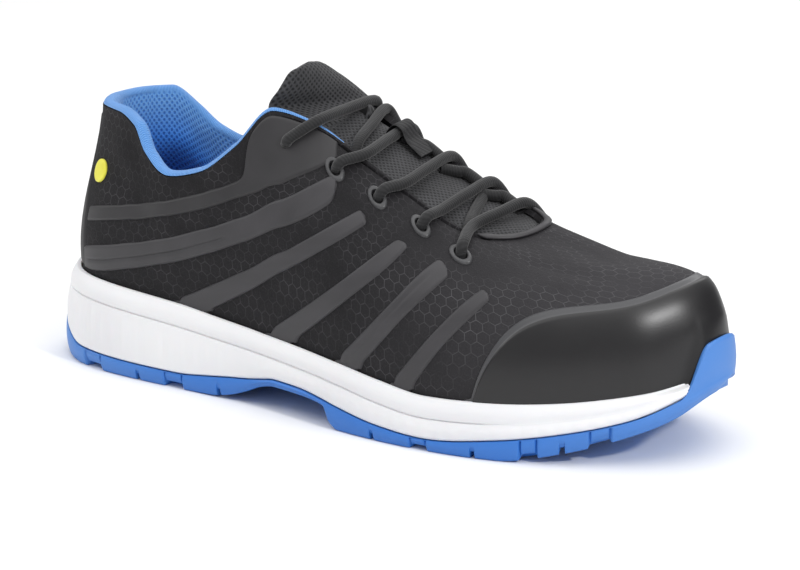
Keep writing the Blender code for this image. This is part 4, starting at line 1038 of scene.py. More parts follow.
def cord_of(name, path, width, finish):
    """A round cord along the points of a path, with its own length as texture place."""
    path = np.asarray(path, float)
    step = np.gradient(path, axis=0)
    step /= np.linalg.norm(step, axis=1, keepdims=True)
    side = np.cross(step[0], (0.0, 0.0, 1.0))
    side /= np.linalg.norm(side)
    angle = 2 * math.pi * np.arange(CORD_SIDES) / CORD_SIDES
    rings = []
    for point, ahead in zip(path, step):
        side = side - ahead * (side @ ahead)
        side /= np.linalg.norm(side)
        up = np.cross(ahead, side)
        rings.append(point + width / 2 * (np.outer(np.cos(angle), side) + np.outer(np.sin(angle), up)))
    girth = np.linspace(0, math.pi * width, CORD_SIDES + 1)
    places = np.stack(np.broadcast_arrays(run_of(path)[:, None], girth[None, :]), -1)
    return closed_sheet(name, np.array(rings), finish, places)


def through(points, steps):
    """A smooth path through the points."""
    points = np.asarray(points, float)
    wide = np.concatenate([[2 * points[0] - points[1]], points, [2 * points[-1] - points[-2]]])
    path = []
    for a, b, c, d in zip(wide[:-3], wide[1:-2], wide[2:-1], wide[3:]):
        for s in np.linspace(0, 1, steps, endpoint=False):
            bend = (2 * a - 5 * b + 4 * c - d) * s * s + (3 * b - a - 3 * c + d) * s**3
            path.append(0.5 * (2 * b + (c - a) * s + bend))
    path.append(points[-1])
    return np.array(path)


def finer(grid, rows, columns):
    """A grid of points made finer along both ways, smooth through its own points."""
    for count in (rows, columns):
        knots = np.arange(len(grid), dtype=float)
        at = np.linspace(0, len(grid) - 1, count)
        grid = np.stack(
            [
                np.stack([smooth(knots, grid[:, j, axis], at) for axis in range(3)], -1)
                for j in range(grid.shape[1])
            ],
            1,
        )
        grid = grid.transpose(1, 0, 2)
    return grid


class Finish:
    """A procedural material, put together node by node."""

    def __init__(self, name, colour, roughness, **fixed):
        self.material = bpy.data.materials.new(name)
        self.material.use_nodes = True
        self.tree = self.material.node_tree
        self.surface = self.tree.nodes["Principled BSDF"]
        self.surface.inputs["Base Color"].default_value = (*colour, 1.0)
        self.surface.inputs["Roughness"].default_value = roughness
        for socket, value in fixed.items():
            self.surface.inputs[socket.replace("_", " ")].default_value = value
        self.places = self.add("ShaderNodeUVMap", uv_map="lengths").outputs["UV"]
        self.solid = self.add("ShaderNodeTexCoord").outputs["Object"]

    def add(self, kind, **settings):
        node = self.tree.nodes.new(kind)
        for name, value in settings.items():
            setattr(node, name, value)
        return node

    def put(self, socket, value):
        """Sets a socket to a number or colour, or joins it to another socket."""
        if isinstance(value, bpy.types.NodeSocket):
            self.tree.links.new(value, socket)
        elif isinstance(value, tuple) and len(value) == 3 and socket.type == "RGBA":
            socket.default_value = (*value, 1.0)
        else:
            socket.default_value = value

    def turned(self, places, degrees, tall=1.0):
        """Places turned about the third axis. With tall at 0, the third axis is left out."""
        node = self.add("ShaderNodeMapping")
        self.put(node.inputs["Vector"], places)
        node.inputs["Scale"].default_value = (1.0, 1.0, tall)
        node.inputs["Rotation"].default_value = (0.0, 0.0, math.radians(degrees))
        return node.outputs["Vector"]

    def calc(self, operation, first, second):
        node = self.add("ShaderNodeMath", operation=operation)
        self.put(node.inputs[0], first)
        self.put(node.inputs[1], second)
        return node.outputs["Value"]

    def noise(self, places, scale, detail, rough=0.5, out="Fac"):
        node = self.add("ShaderNodeTexNoise")
        self.put(node.inputs["Vector"], places)
        node.inputs["Scale"].default_value = scale
        node.inputs["Detail"].default_value = detail
        node.inputs["Roughness"].default_value = rough
        return node.outputs[out]

    def cells(self, places, scale, random):
        """Distance from the middle of each cell. With random at 0 the cells are squares."""
        node = self.add("ShaderNodeTexVoronoi", feature="F1")
        self.put(node.inputs["Vector"], places)
        node.inputs["Scale"].default_value = scale
        node.inputs["Randomness"].default_value = random
        return node.outputs["Distance"]

    def wave(self, places, pitch, across, distortion):
        """A sine of this pitch in metres, from 0 to 1."""
        node = self.add("ShaderNodeTexWave", wave_type="BANDS", bands_direction=across)
        self.put(node.inputs["Vector"], places)
        node.inputs["Scale"].default_value = 1.0 / (pitch * WAVE_UNIT)
        node.inputs["Distortion"].default_value = distortion
        return node.outputs["Fac"]

    def ramp(self, value, *stops):
        """Colours or greys by the value: each stop is a place and a colour."""
        node = self.add("ShaderNodeValToRGB")
        self.put(node.inputs["Fac"], value)
        marks = node.color_ramp.elements
        while len(marks) < len(stops):
            marks.new(0.5)
        for mark, (place, colour) in zip(marks, stops):
            mark.position = place
            shade = (colour, colour, colour) if isinstance(colour, float) else colour
            mark.color = (*shade, 1.0)
        return node.outputs["Color"]

    def mix(self, share, first, second):
        node = self.add("ShaderNodeMix", data_type="RGBA")
        self.put(node.inputs["Factor"], share)
        self.put(node.inputs[6], first)
        self.put(node.inputs[7], second)
        return node.outputs[2]

    def vector(self, operation, *values, out="Vector"):
        node = self.add("ShaderNodeVectorMath", operation=operation)
        for socket, value in zip(node.inputs, values):
            self.put(socket, value)
        return node.outputs[out]

    def stretched(self, places, factor):
        node = self.add("ShaderNodeVectorMath", operation="SCALE")
        self.put(node.inputs[0], places)
        self.put(node.inputs["Scale"], factor)
        return node.outputs["Vector"]

    def hexes(self, places, pitch):
        """Distance from the middle of each cell of a net of hexagons: 0.5 on the border."""
        tall = math.sqrt(3) / 2
        corner = (0.5, tall, 1.0)
        flat = self.vector("MULTIPLY", places, (1 / pitch, 1 / pitch, 0.0))
        first = self.vector("WRAP", flat, corner, (-0.5, -tall, -1.0))
        moved = self.vector("ADD", flat, (0.5, tall, 0.0))
        second = self.vector("WRAP", moved, corner, (-0.5, -tall, -1.0))
        near = self.calc(
            "LESS_THAN",
            self.vector("DOT_PRODUCT", first, first, out="Value"),
            self.vector("DOT_PRODUCT", second, second, out="Value"),
        )
        step = self.stretched(self.vector("SUBTRACT", first, second), near)
        place = self.vector("ABSOLUTE", self.vector("ADD", second, step))
        slanting = self.vector("DOT_PRODUCT", place, (0.5, tall, 0.0), out="Value")
        return self.calc("MAXIMUM", self.part_of(place, "X"), slanting)

    def part_of(self, places, axis):
        node = self.add("ShaderNodeSeparateXYZ")
        self.put(node.inputs["Vector"], places)
        return node.outputs[axis]

    def colour(self, value):
        self.put(self.surface.inputs["Base Color"], value)

    def rough(self, cloud, low, high):
        """Roughness between two values by the cloud."""
        self.put(self.surface.inputs["Roughness"], self.ramp(cloud, (0.25, low), (0.75, high)))

    def bump(self, height, distance, strength):
        """Adds a bump of this depth in metres over any that the material has."""
        node = self.add("ShaderNodeBump")
        node.inputs["Strength"].default_value = strength
        node.inputs["Distance"].default_value = distance
        self.put(node.inputs["Height"], height)
        links = self.surface.inputs["Normal"].links
        if links:
            self.put(node.inputs["Normal"], links[0].from_socket)
        self.put(self.surface.inputs["Normal"], node.outputs["Normal"])

    def grain(self, places, scale, depth, strength):
        """A fine even grain."""
        self.bump(self.noise(places, scale, 2.0), depth, strength)

    def clouded(self, places, scale, dark, light, high=0.7, detail=3.0):
        """A soft cloud, and two colours mixed by it."""
        cloud = self.noise(places, scale, detail)
        return cloud, self.mix(self.ramp(cloud, (0.3, 0.0), (high, 1.0)), dark, light)


def shell_mesh():
    """Black knit with thin paler ripstop threads, painted lighter over the forefoot as light from above."""
    made = Finish("black_mesh", SHELL_COLOUR, 0.75, Specular_IOR_Level=0.22)
    knit = made.places
    drift = made.stretched(made.noise(knit, 120.0, 2.0, out="Color"), NET_DRIFT)
    net = made.hexes(made.vector("ADD", knit, drift), SHELL_PITCH)
    line = made.ramp(net, (HEX_LINE, 0.0), (HEX_LINE + 0.03, 1.0))
    fine = made.noise(knit, 1500.0, 3.0, 0.7)
    # Painted light: knit and threads grow paler towards the toe, where the vamp faces the light from above
    ahead = made.ramp(made.part_of(made.solid, "X"), (0.02, 0.0), (0.12, 1.0))
    worn = made.noise(knit, 46.0, 4.0, 0.6)
    share = made.calc("MULTIPLY", line, made.ramp(worn, (0.38, 0.0), (0.66, 1.0)))
    base = made.mix(made.ramp(worn, (0.30, 0.0), (0.75, 1.0)), SHELL_COLOUR, SHELL_LIGHT)
    base = made.mix(made.calc("MULTIPLY", ahead, 0.42), base, SHELL_THREAD)
    base = made.mix(made.ramp(fine, (0.52, 0.0), (0.80, 0.35)), base, SHELL_THREAD)
    thread = made.mix(ahead, SHELL_THREAD, SHELL_THREAD_PAINTED_LIT)
    made.colour(made.mix(made.calc("MULTIPLY", share, 0.72), base, thread))
    made.bump(made.cells(knit, 1050.0, 0.6), 0.00022, 0.5)
    made.bump(line, 0.00014, 0.5)
    return made.material


def film_finish(name, dark, light, roughness):
    """Smooth film, slightly cloudy."""
    made = Finish(name, dark, roughness, Specular_IOR_Level=0.45)
    cloud, colour = made.clouded(made.places, 55.0, dark, light, 0.72)
    made.colour(colour)
    made.rough(cloud, roughness - 0.05, roughness + 0.06)
    made.grain(made.places, 2600.0, 0.00004, 0.4)
    return made.material


def cap_finish():
    """Smooth rubbery toe cap with a paler bevel along its rear edge."""
    looks = {"Specular_IOR_Level": 0.46, "Coat_Weight": 0.05, "Coat_Roughness": 0.3}
    made = Finish("toe_cap_rubber", CAP_COLOUR, 0.36, **looks)
    cloud, colour = made.clouded(made.solid, 32.0, CAP_COLOUR, CAP_LIGHT)
    from_edge = made.calc("DIVIDE", made.part_of(made.places, "Y"), CAP_BAND)
    band = made.ramp(from_edge, (0.0, 1.0), (0.86, 1.0), (0.97, 0.0))
    made.colour(made.mix(band, colour, CAP_BAND_COLOUR))
    made.rough(cloud, 0.29, 0.38)
    made.grain(made.solid, 1900.0, 0.00005, 0.45)
    return made.material


def foam_finish():
    made = Finish("white_foam", FOAM_COLOUR, 0.52, Subsurface_Weight=0.05, Subsurface_Scale=0.004)
    cloud, colour = made.clouded(made.solid, 18.0, FOAM_COLOUR, FOAM_SHADE)
    made.colour(colour)
    made.rough(cloud, 0.48, 0.58)
    made.grain(made.solid, 1500.0, 0.00005, 0.5)
    return made.material


def rubber_finish():
    """Blue rubber, paler towards the heel and the toe."""
    made = Finish("blue_rubber", RUBBER_COLOUR, 0.46, Specular_IOR_Level=0.5)
    cloud = made.noise(made.solid, 24.0, 3.0)
    along = made.calc("ADD", made.calc("DIVIDE", made.part_of(made.solid, "X"), LENGTH), 0.5)
    stops = ((0.0, RUBBER_LIGHT), (0.30, RUBBER_COLOUR), (0.80, RUBBER_COLOUR), (1.0, RUBBER_LIGHT))
    base = made.ramp(along, *stops)
    made.colour(made.mix(made.ramp(cloud, (0.35, 0.0), (0.8, 0.22)), base, RUBBER_DEEP))
    made.rough(cloud, 0.42, 0.54)
    made.grain(made.solid, 1700.0, 0.00005, 0.5)
    return made.material


def spacer_finish():
    """Blue spacer mesh: staggered eyes inside, a pale ribbed roll along the edge; painted lit near the
    collar's top and painted shade deeper into the shoe.
    """
    made = Finish("blue_spacer_mesh", SPACER_COLOUR, 0.78, Specular_IOR_Level=0.3, Sheen_Weight=0.25)
    eyes = made.cells(made.turned(made.places, 45), 1.0 / SPACER_PITCH, 0.0)
    eye = made.ramp(eyes, (0.20, 0.0), (0.42, 1.0))
    depth = made.calc("DIVIDE", made.part_of(made.places, "Y"), SPACER_DEPTH)
    # Painted light and shade: lit near the collar's top, darker deeper into the shoe where the shade falls
    stops = ((0.0, SPACER_PAINTED_LIT), (0.12, SPACER_PAINTED_LIT), (0.32, SPACER_COLOUR), (0.62, SPACER_PAINTED_SHADE))
    inside = made.ramp(depth, *stops)
    # The eyes take a painted shade that deepens further into the shoe
    shade = made.ramp(depth, (0.0, SPACER_COLOUR), (0.3, SPACER_PAINTED_SHADE), (1.0, SPACER_EYE_PAINTED_SHADE))
    mesh = made.mix(made.ramp(eyes, (0.20, 0.25), (0.42, 1.0)), shade, inside)
    roll = made.ramp(depth, (0.040, 1.0), (0.075, 0.0))
    ribs = made.wave(made.places, RIB_PITCH, "X", 0.6)
    # The roll has its own pale tone, its ribs striped with the painted lit tone
    pale = made.mix(ribs, SPACER_COLOUR_PALE, SPACER_PAINTED_LIT)
    made.colour(made.mix(roll, mesh, pale))
    made.bump(made.mix(roll, eye, ribs), 0.00045, 0.7)
    made.grain(made.places, 2400.0, 0.00010, 0.5)
    return made.material


def tongue_finish():
    """Dark mesh with a faint pattern of diamonds."""
    made = Finish("tongue_mesh", TONGUE_COLOUR, 0.80, Specular_IOR_Level=0.3, Sheen_Weight=0.15)
    eyes = made.cells(made.turned(made.places, 45), 620.0, 0.0)
    _, base = made.clouded(made.places, 60.0, TONGUE_COLOUR, TONGUE_LIGHT, 0.75)
    made.colour(made.mix(made.ramp(eyes, (0.18, 0.12), (0.46, 0.95)), TONGUE_DEEP, base))
    made.bump(made.ramp(eyes, (0.18, 0.0), (0.46, 1.0)), 0.00035, 0.6)
    return made.material


def cord_finish(name, dark, light, pitch):
    """Braided cord: fine ribs that run slightly round it."""
    made = Finish(name, dark, 0.70, Specular_IOR_Level=0.3, Sheen_Weight=0.2)
    ribs = made.wave(made.turned(made.places, 14), pitch, "X", 0.5)
    across = made.wave(made.places, pitch * 1.15, "Y", 0.5)
    weave = made.calc("MULTIPLY", ribs, made.calc("ADD", made.calc("MULTIPLY", across, 0.35), 0.65))
    worn = made.ramp(made.noise(made.places, 150.0, 2.0), (0.35, 0.35), (0.65, 1.0))
    made.colour(made.mix(made.calc("MULTIPLY", weave, worn), dark, light))
    made.bump(weave, 0.00016, 0.5)
    return made.material


def webbing_finish():
    """Woven band with a plain pressed hatch."""
    made = Finish("webbing", CORD_COLOUR, 0.62, Specular_IOR_Level=0.35)
    hatch = made.wave(made.turned(made.places, 62), 0.0022, "X", 0.4)
    weave = made.wave(made.places, 0.0008, "X", 0.2)
    made.colour(made.mix(made.calc("MULTIPLY", hatch, 0.5), CORD_COLOUR, WEBBING_LIGHT))
    made.bump(hatch, 0.00022, 0.6)
    made.bump(weave, 0.00012, 0.5)
    return made.material


def ring_finish():
    made = Finish("eyelet_grey", RING_COLOUR, 0.42, Specular_IOR_Level=0.5)
    made.colour(made.clouded(made.solid, 300.0, RING_COLOUR, RING_LIGHT, detail=2.0)[1])
    made.grain(made.solid, 2500.0, 0.00004, 0.4)
    return made.material


def disc_finish():
    made = Finish("yellow_disc", DISC_COLOUR, 0.45, Specular_IOR_Level=0.4)
    made.colour(made.clouded(made.solid, 260.0, DISC_COLOUR, DISC_SHADE, 0.75)[1])
    made.grain(made.solid, 2200.0, 0.00005, 0.4)
    return made.material


def felt_finish():
    made = Finish("insole_fabric", FELT_COLOUR, 0.9, Specular_IOR_Level=0.2, Sheen_Weight=0.3)
    weave = made.cells(made.turned(made.solid, 45, tall=0.0), 480.0, 0.0)
    made.colour(made.mix(made.ramp(weave, (0.15, 0.0), (0.5, 1.0)), FELT_DEEP, FELT_COLOUR))
    made.bump(weave, 0.00025, 0.6)
    return made.material


def floor_finish():
    made = Finish("pale_floor", FLOOR_COLOUR, 0.85, Specular_IOR_Level=0.1)
    made.colour(made.clouded(made.solid, 1.2, FLOOR_COLOUR, FLOOR_SHADE, detail=2.0)[1])
    return made.material


def round_turns(count):
    """Turns for a ring of this many points, alike on both sides."""
    half = np.arange(1, count // 2) * 0.5 / (count // 2)
    return np.concatenate([[0.0], half, [0.5], 1 - half[::-1]])


def ring(turns, out, height):
    x, y = outline(turns, out)
    return np.stack([x, y, np.broadcast_to(height, x.shape)], -1)


def eyelet_places():
    """Side, number, turn and climb of each eyelet."""
    rows = [(-1, n, row[0], row[1]) for n, row in enumerate(EYELETS, 1)]
    return rows + [(1, n, 1 - row[2], row[3]) for n, row in enumerate(EYELETS, 1)]


def edge_band(turn, climb):
    """Height of the folded band along the throat, with the shallow slit below it."""
    away = from_heel(turn)
    here = soft((away - SLIT_TURNS[0]) / 0.012) * soft((SLIT_TURNS[1] - away) / 0.012)
    below = (1 - climb) * np.interp(turn % 1.0, SPAN_TURNS, SPAN_UP)
    band = BAND_RISE * soft((SLIT_DROP - below) / 0.0008)
    slit = -SLIT_DEPTH * np.exp(-(((below - SLIT_DROP) / 0.0005) ** 2))
    return here * (band + slit)


def make_upper(finish):
    turns = round_turns(UPPER_STEPS)
    climbs = np.concatenate([[-1.0, -0.5], np.linspace(0, 0.84, UPPER_ROWS), np.linspace(0.85, 1.0, 30)])
    turn, climb = np.meshgrid(turns, climbs, indexing="ij")
    lift = edge_band(turn, climb)
    outer = skin(turn, climb, lift)
    inner = skin(turn, climb, -UPPER_WALL)
    wrapped = np.append(turns, 1.0)
    u, v = span(wrapped[:, None], climbs[None, :])
    places = np.stack(np.broadcast_arrays(u, v), -1)
    shell = body_of("shell", outer, inner, places, finish, close_rows=True)
    work = bmesh.new()
    work.from_mesh(shell.data)
    gone = set()
    for _, number, place_turn, place_climb in eyelet_places():
        middle = Vector(skin(place_turn, place_climb, -UPPER_WALL / 2))
        reach = HOLE / 2 * (0.9 if number == 1 else 1.05)
        axis = Vector(upper_normal(place_turn, place_climb))
        for face in work.faces:
            to = face.calc_center_median() - middle
            rise = to.dot(axis)
            if abs(rise) < UPPER_WALL and (to - axis * rise).length < reach:
                gone.add(face)
    bmesh.ops.delete(work, geom=list(gone), context="FACES")
    work.to_mesh(shell.data)
    work.free()
    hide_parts("upper")


def sole_turns():
    """Turns of the sole's rings, alike on both sides: even steps, with more beside each groove and cut."""
    steps = SOLE_COUNT // 2
    half = list(np.arange(1, steps) * 0.5 / steps)
    lines = [along + width * edge for along, width in WALL_GROOVES for edge in (-0.5, 0.5)]
    for line in lines:
        for offset in GROOVE_OFFSETS:
            half.append(float(turn_of(line + offset / LENGTH, -1)))
    for along in TREAD_LINES:
        for offset in (-0.5, 0.5):
            for step in (-CUT_EDGE, CUT_EDGE):
                half.append(float(turn_of(along + (offset * CUT_WIDTH + step) / LENGTH, -1)))
    half = np.sort(np.array(half))
    keep = np.append(np.diff(half) > 1e-4, True)
    half = half[keep]
    return np.concatenate([[0.0], half, [0.5], 1 - half[::-1]])


def from_line(turns, along):
    """Distance along the sole from a line across it, measured on the outer side for both sides."""
    x, _ = outline(from_heel(turns))
    return np.abs(x - LENGTH * (along - 0.5))


def block_share(turns, edge):
    """1 on the short blocks between two grooves of the outsole's wall, falling off over this edge."""
    share = np.zeros(turns.shape)
    for along, width in WALL_GROOVES:
        share = np.maximum(share, soft((LENGTH * width / 2 - from_line(turns, along)) / edge + 0.5))
    return share


def cut_share(turns):
    """1 in the narrow cuts across the tread."""
    share = np.zeros(turns.shape)
    for along in TREAD_LINES:
        inside = (CUT_WIDTH / 2 - from_line(turns, along)) / CUT_EDGE / 2 + 0.5
        share = np.maximum(share, np.clip(inside, 0, 1))
    return share


def outsole_out(turns, share):
    """Depth of the grooves in the wall of the outsole: share is 0 at the ground and 1 at the seam."""
    low = block_share(turns, 0.0006) * SIDE_GROOVE_DEPTH * 0.25
    for along, width in WALL_GROOVES:
        line = np.exp(-(((from_line(turns, along) - LENGTH * width / 2) / GROOVE_LINE) ** 2))
        low = np.maximum(low, line * SIDE_GROOVE_DEPTH)
    return low * soft((0.97 - share) / 0.06)


def bumper_rise(turn):
    """Height of the toe bumper as a share: it falls off in a long curve at both sides."""
    return bumper_share(turn, *BUMPER_SPREAD)


def bumper_top(turn):
    return side_height(SEAM, turn) + bumper_rise(turn) * BUMPER_HEIGHT


def behind_bumper(turn, height):
    """1 where the bumper stands in front at this height, and 0 above it."""
    return soft((bumper_top(turn) - height) / 0.0012 + 0.3) * soft(bumper_rise(turn) / 0.05)


def make_outsole(finish):
    turns = sole_turns()
    past_tip = softer(past_toe(turns) / 0.020 + 0.25)
    past_tip = past_tip * soft((along_of(turns) - LIFTED_FROM) / 0.10)
    flat = side_height(GROUND, turns) + past_tip * TOE_LIFT
    seam = side_height(SEAM, turns)
    most = (seam - flat) * 0.4
    cut = cut_share(turns) * np.minimum(TREAD_DEPTH, most)
    ground = flat + np.maximum(cut, block_share(turns, 0.0016) * np.minimum(BLOCK_RISE, most))
    bumper = bumper_rise(turns)
    top = seam + bumper * BUMPER_HEIGHT
    tread = -sole_lean(GROUND, turns) - past_tip * TOE_TUCK
    wall = -sole_lean(SEAM, turns)
    rings = [ring(turns, tread - TREAD_EDGE * step, flat + cut) for step in (7, 5)]
    rings.append(ring(turns, tread - TREAD_EDGE * 4, ground))
    for angle in np.radians((0, 30, 60, 90)):
        out = tread - TREAD_EDGE * (1 - np.sin(angle)) - outsole_out(turns, 0.0)
        rings.append(ring(turns, out, ground + TREAD_EDGE * (1 - np.cos(angle))))
    for share in np.linspace(0.12, 1.0, 16):
        lean = (1 - share) ** 2 * tread + share**2 * wall
        height = ground + TREAD_EDGE + (seam - ground - TREAD_EDGE) * share
        rings.append(ring(turns, lean - outsole_out(turns, share), height))
    rise = np.maximum(top - seam, FIT_GAP / 20)
    for share in (0.25, 0.5, 0.75, 0.95):
        swell = bumper * 0.0006 * math.sin(math.pi * share)
        out = wall + swell - bumper * TREAD_EDGE * 0.35 * share
        rings.append(ring(turns, out, seam + rise * share * 0.95))
    inner = wall - np.maximum(BUMPER_WALL * np.sqrt(bumper), TREAD_EDGE * 0.6)
    for share in (0.0, 0.35, 0.7, 1.0):
        out = (wall - bumper * TREAD_EDGE * 0.35) * (1 - share) + inner * share
        lift = seam + rise * (0.95 + 0.05 * math.sin(math.pi * share))
        rings.append(ring(turns, out, lift))
    rings.append(ring(turns, wall - BUMPER_WALL, side_shelf(turns) - FIT_GAP / 20))
    sole = rings_of("rubber_sole", rings, finish)
    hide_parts("outsole")


def make_midsole(finish):
    turns = sole_turns()
    seam, groove, rim = (side_height(c, turns) for c in (SEAM, GROOVE, RIM))
    floor = floor_height(turns)
    lean = sole_lean(SEAM, turns)
    keel = -(lean + BUMPER_WALL + FIT_GAP * 2)
    low = -(lean + FIT_GAP / 2)
    mid = -sole_lean(GROOVE, turns)
    high = -(feather_inset(turns) - FIT_GAP - RIM_WALL)
    deep = fade(along_of(turns), *GROOVE_FADE)

    def wall_ring(out, height):
        """A ring of the wall, taken in where the bumper stands in front of it."""
        hidden = behind_bumper(turns, height)
        return ring(turns, np.minimum(out, out * (1 - hidden) + keel * hidden), height)

    run = run_of(np.stack(outline(turns), -1))
    facet = np.abs(((run / FACET_PITCH) % 1.0) - 0.5) * 2
    rings = [
        ring(turns, keel, side_shelf(turns) + FIT_GAP - FIT_GAP / 20),
        ring(turns, keel, seam + FIT_GAP),
        ring(turns, np.maximum(low - TREAD_EDGE / 2, keel), seam + FIT_GAP),
    ]
    for share in np.linspace(0, 1, 14):
        out = low + (mid - low) * share
        belly = math.sin(math.pi * share)
        out = out + belly * 0.0006 - np.minimum(1, 4 * share * (1 - share)) * facet * FACET_DEPTH
        foot = seam + FIT_GAP + TREAD_EDGE / 2
        rings.append(wall_ring(out, foot + (groove - GROOVE_LINE - foot) * share))
    for share in (-0.7, -0.3, 0.0, 0.3, 0.7):
        depth = GROOVE_SIZE * math.cos(share * math.pi / 2) * deep
        rings.append(wall_ring(mid - depth, groove + GROOVE_LINE * share))
    start = groove + GROOVE_LINE
    for share in np.linspace(0, 1, 12):
        belly = math.sin(math.pi * share) * 0.0007
        height = start + (rim - TREAD_EDGE / 2 - start) * share
        rings.append(wall_ring(mid + (high - mid) * share + belly, height))
    for angle in np.radians((30, 60, 90)):
        out = high - TREAD_EDGE / 2 * (1 - math.cos(angle))
        rings.append(ring(turns, out, rim - TREAD_EDGE / 2 * (1 - math.sin(angle))))
    rings.append(ring(turns, high - RIM_WALL + TREAD_EDGE / 3, rim))
    rings.append(ring(turns, high - RIM_WALL, rim - TREAD_EDGE / 3))
    rings.append(ring(turns, high - RIM_WALL, floor))
    foam = rings_of("foam_sole", rings, finish)
    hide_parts("midsole")


def make_insole(finish):
    turns = round_turns(INSOLE_COUNT)
    inset = -(feather_inset(turns) + FIT_GAP * 2 + UPPER_WALL + LINING_WALL)
    floor = floor_height(turns) + FIT_GAP
    rings = [ring(turns, inset, floor)]
    for angle in np.radians((0, 30, 60, 90)):
        out = inset - INSOLE_THICKNESS * 0.5 * (1 - np.cos(angle))
        rings.append(ring(turns, out, floor + INSOLE_THICKNESS * (0.5 + 0.5 * np.sin(angle))))
    for share in (0.85, 0.65, 0.4, 0.15, 0.02):
        x, y = outline(turns, inset - INSOLE_THICKNESS * 0.5)
        middle_y = (y + y[(len(y) - np.arange(len(y))) % len(y)]) / 2
        dish = -0.0008 * (1 - share)
        rings.append(np.stack([x, middle_y + (y - middle_y) * share, floor + INSOLE_THICKNESS + dish], -1))
    bed = rings_of("foot_bed", rings, finish)
    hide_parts("insole")


def eased(values, rounds):
    """The same row of values with its small waves taken out. Both ends stay."""
    values = np.array(values, float)
    for _ in range(rounds):
        values[1:-1] = (values[:-2] + 2 * values[1:-1] + values[2:]) / 4
    return values


def between(first, second, shares):
    """Rows of values from the first line to the second one, at these shares of the way."""
    return first[:, None] * (1 - shares) + second[:, None] * shares


def make_stripes(finish):
    for side, side_name in SIDES:
        for name, rows in STRIPE_EDGES.items():
            share = np.linspace(0, 1, STRIPE_STEPS)
            knots = np.linspace(0, 1, len(rows))
            edges = [eased(smooth(knots, column, share), STRIPE_ROUNDS) for column in np.array(rows).T]
            ends = [np.stack(span(edges[0], edges[1]), -1), np.stack(span(edges[2], edges[3]), -1)]
            width = np.linalg.norm(ends[0] - ends[1], axis=1)
            run = run_of(sum(ends) / 2)
            left = np.clip((run[-1] - run) / (width * 0.5), 0, 1)
            narrow = np.sqrt(np.clip(1 - (1 - left) ** 2, 0, 1))[:, None]
            wider = 1 + TIP_WIDER * soft((share - 0.6) / 0.4)[:, None]
            across = 0.5 + (FILM_SHARES - 0.5) * np.maximum(narrow, 0.02) * wider
            turn = mirrored(between(edges[0], edges[2], across), side)
            climb = between(edges[1], edges[3], across)
            lines = STRIPE_LINES.get(name, ())
            made = film(f"band_{name[-1]}_{side_name}", turn, climb, STRIPE_WALL, finish, grooves=lines)
            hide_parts(f"{name}_{side_name}")


def make_eyestays(finish):
    turn = np.linspace(STAY_EDGES[0][0], STAY_EDGES[-1][0], STAY_STEPS)
    low, high = (eased(looked_up(STAY_EDGES, column, turn), STAY_ROUNDS) for column in (1, 2))
    climb = between(low, high, STAY_SHARES)
    for side, side_name in SIDES:
        turns = np.repeat(mirrored(turn, side)[:, None], len(STAY_SHARES), axis=1)
        made = film(f"stay_{side_name}", turns, climb, STRIPE_WALL, finish)
        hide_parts(f"eyestay_{side_name}")


def make_toe_cap(finish):
    outer = np.array(CAP_EDGE)
    inner = outer[-2::-1] * (-1, 1) + (1, 0)
    rows = np.concatenate([outer, inner])
    turn = np.linspace(rows[0, 0], rows[-1, 0], CAP_TURNS)
    edge = eased(looked_up(rows, 1, turn), EDGE_ROUNDS)
    foot = np.full(turn.shape, CAP_FOOT)
    shares = np.concatenate([np.linspace(0, 0.72, 44), np.linspace(0.735, 1.0, 30)])
    climb = between(foot, edge, shares)
    turns = np.repeat(turn[:, None], len(shares), axis=1)
    base = skin(turns, climb)
    round_it, up = np.moveaxis(lengths(base), -1, 0)
    ends = np.minimum(round_it, round_it[-1:] - round_it)
    from_edge = np.minimum(up[:, -1:] - up, ends)
    at_edge, over_band, past_bevel = CAP_STEPS
    step = at_edge * soft(from_edge / 0.0006) + over_band * np.clip(from_edge / CAP_BAND, 0, 1)
    step = step + past_bevel * soft((from_edge - CAP_BAND) / CAP_BEVEL + 0.5)
    near = softer((bumper_top(turns) + FILL_ABOVE - base[..., 2]) / FILL_DOWN)
    near = near * softer(1 - (np.abs(past_toe(turns)) - FILL_HALF) / FILL_FADE)
    height = -FILM_SINK + (TOE_CAP_WALL + FILM_SINK) * step + BUMPER_FILL * near
    once = eased(base, CAP_ROUNDS)
    calm = (2 * once - eased(once, CAP_ROUNDS) - base) * softer((ends - 0.02) / 0.05)[..., None]
    points = skin(turns, climb, height) + calm
    faces = grid_faces(*turns.shape)
    places = np.stack([round_it, from_edge], -1)
    cap = mesh_of("cap", points, faces, places, faces, finish, outwards=False)
    face_out(cap, (1.0, 0.0, 0.0))
    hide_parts("toe_cap")


def make_heel_strip(finish):
    climbs = np.linspace(0.004, HEEL_STRIP[-1][0], 70)
    half = looked_up(HEEL_STRIP, 1, climbs)
    share = np.linspace(-1, 1, 61)
    turn = share[:, None] * half[None, :]
    climb = np.repeat(climbs[None, :], len(share), axis=0)
    made = film("rear_strip", turn, climb, STRIPE_WALL * 0.6, finish)
    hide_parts("heel_strip")


def disc_places(turn, climb, radii, count):
    """Turns and climbs of circles about a place on the upper."""
    step = 1e-3
    here = upper(turn, climb)
    per_turn = np.linalg.norm(upper(turn + step, climb) - here) / step
    per_climb = np.linalg.norm(upper(turn, climb + step) - here) / step
    angles = 2 * math.pi * np.arange(count) / count
    turns = turn + np.outer(radii, np.cos(angles)) / per_turn
    climbs = climb + np.outer(radii, np.sin(angles)) / per_climb
    return turns, climbs


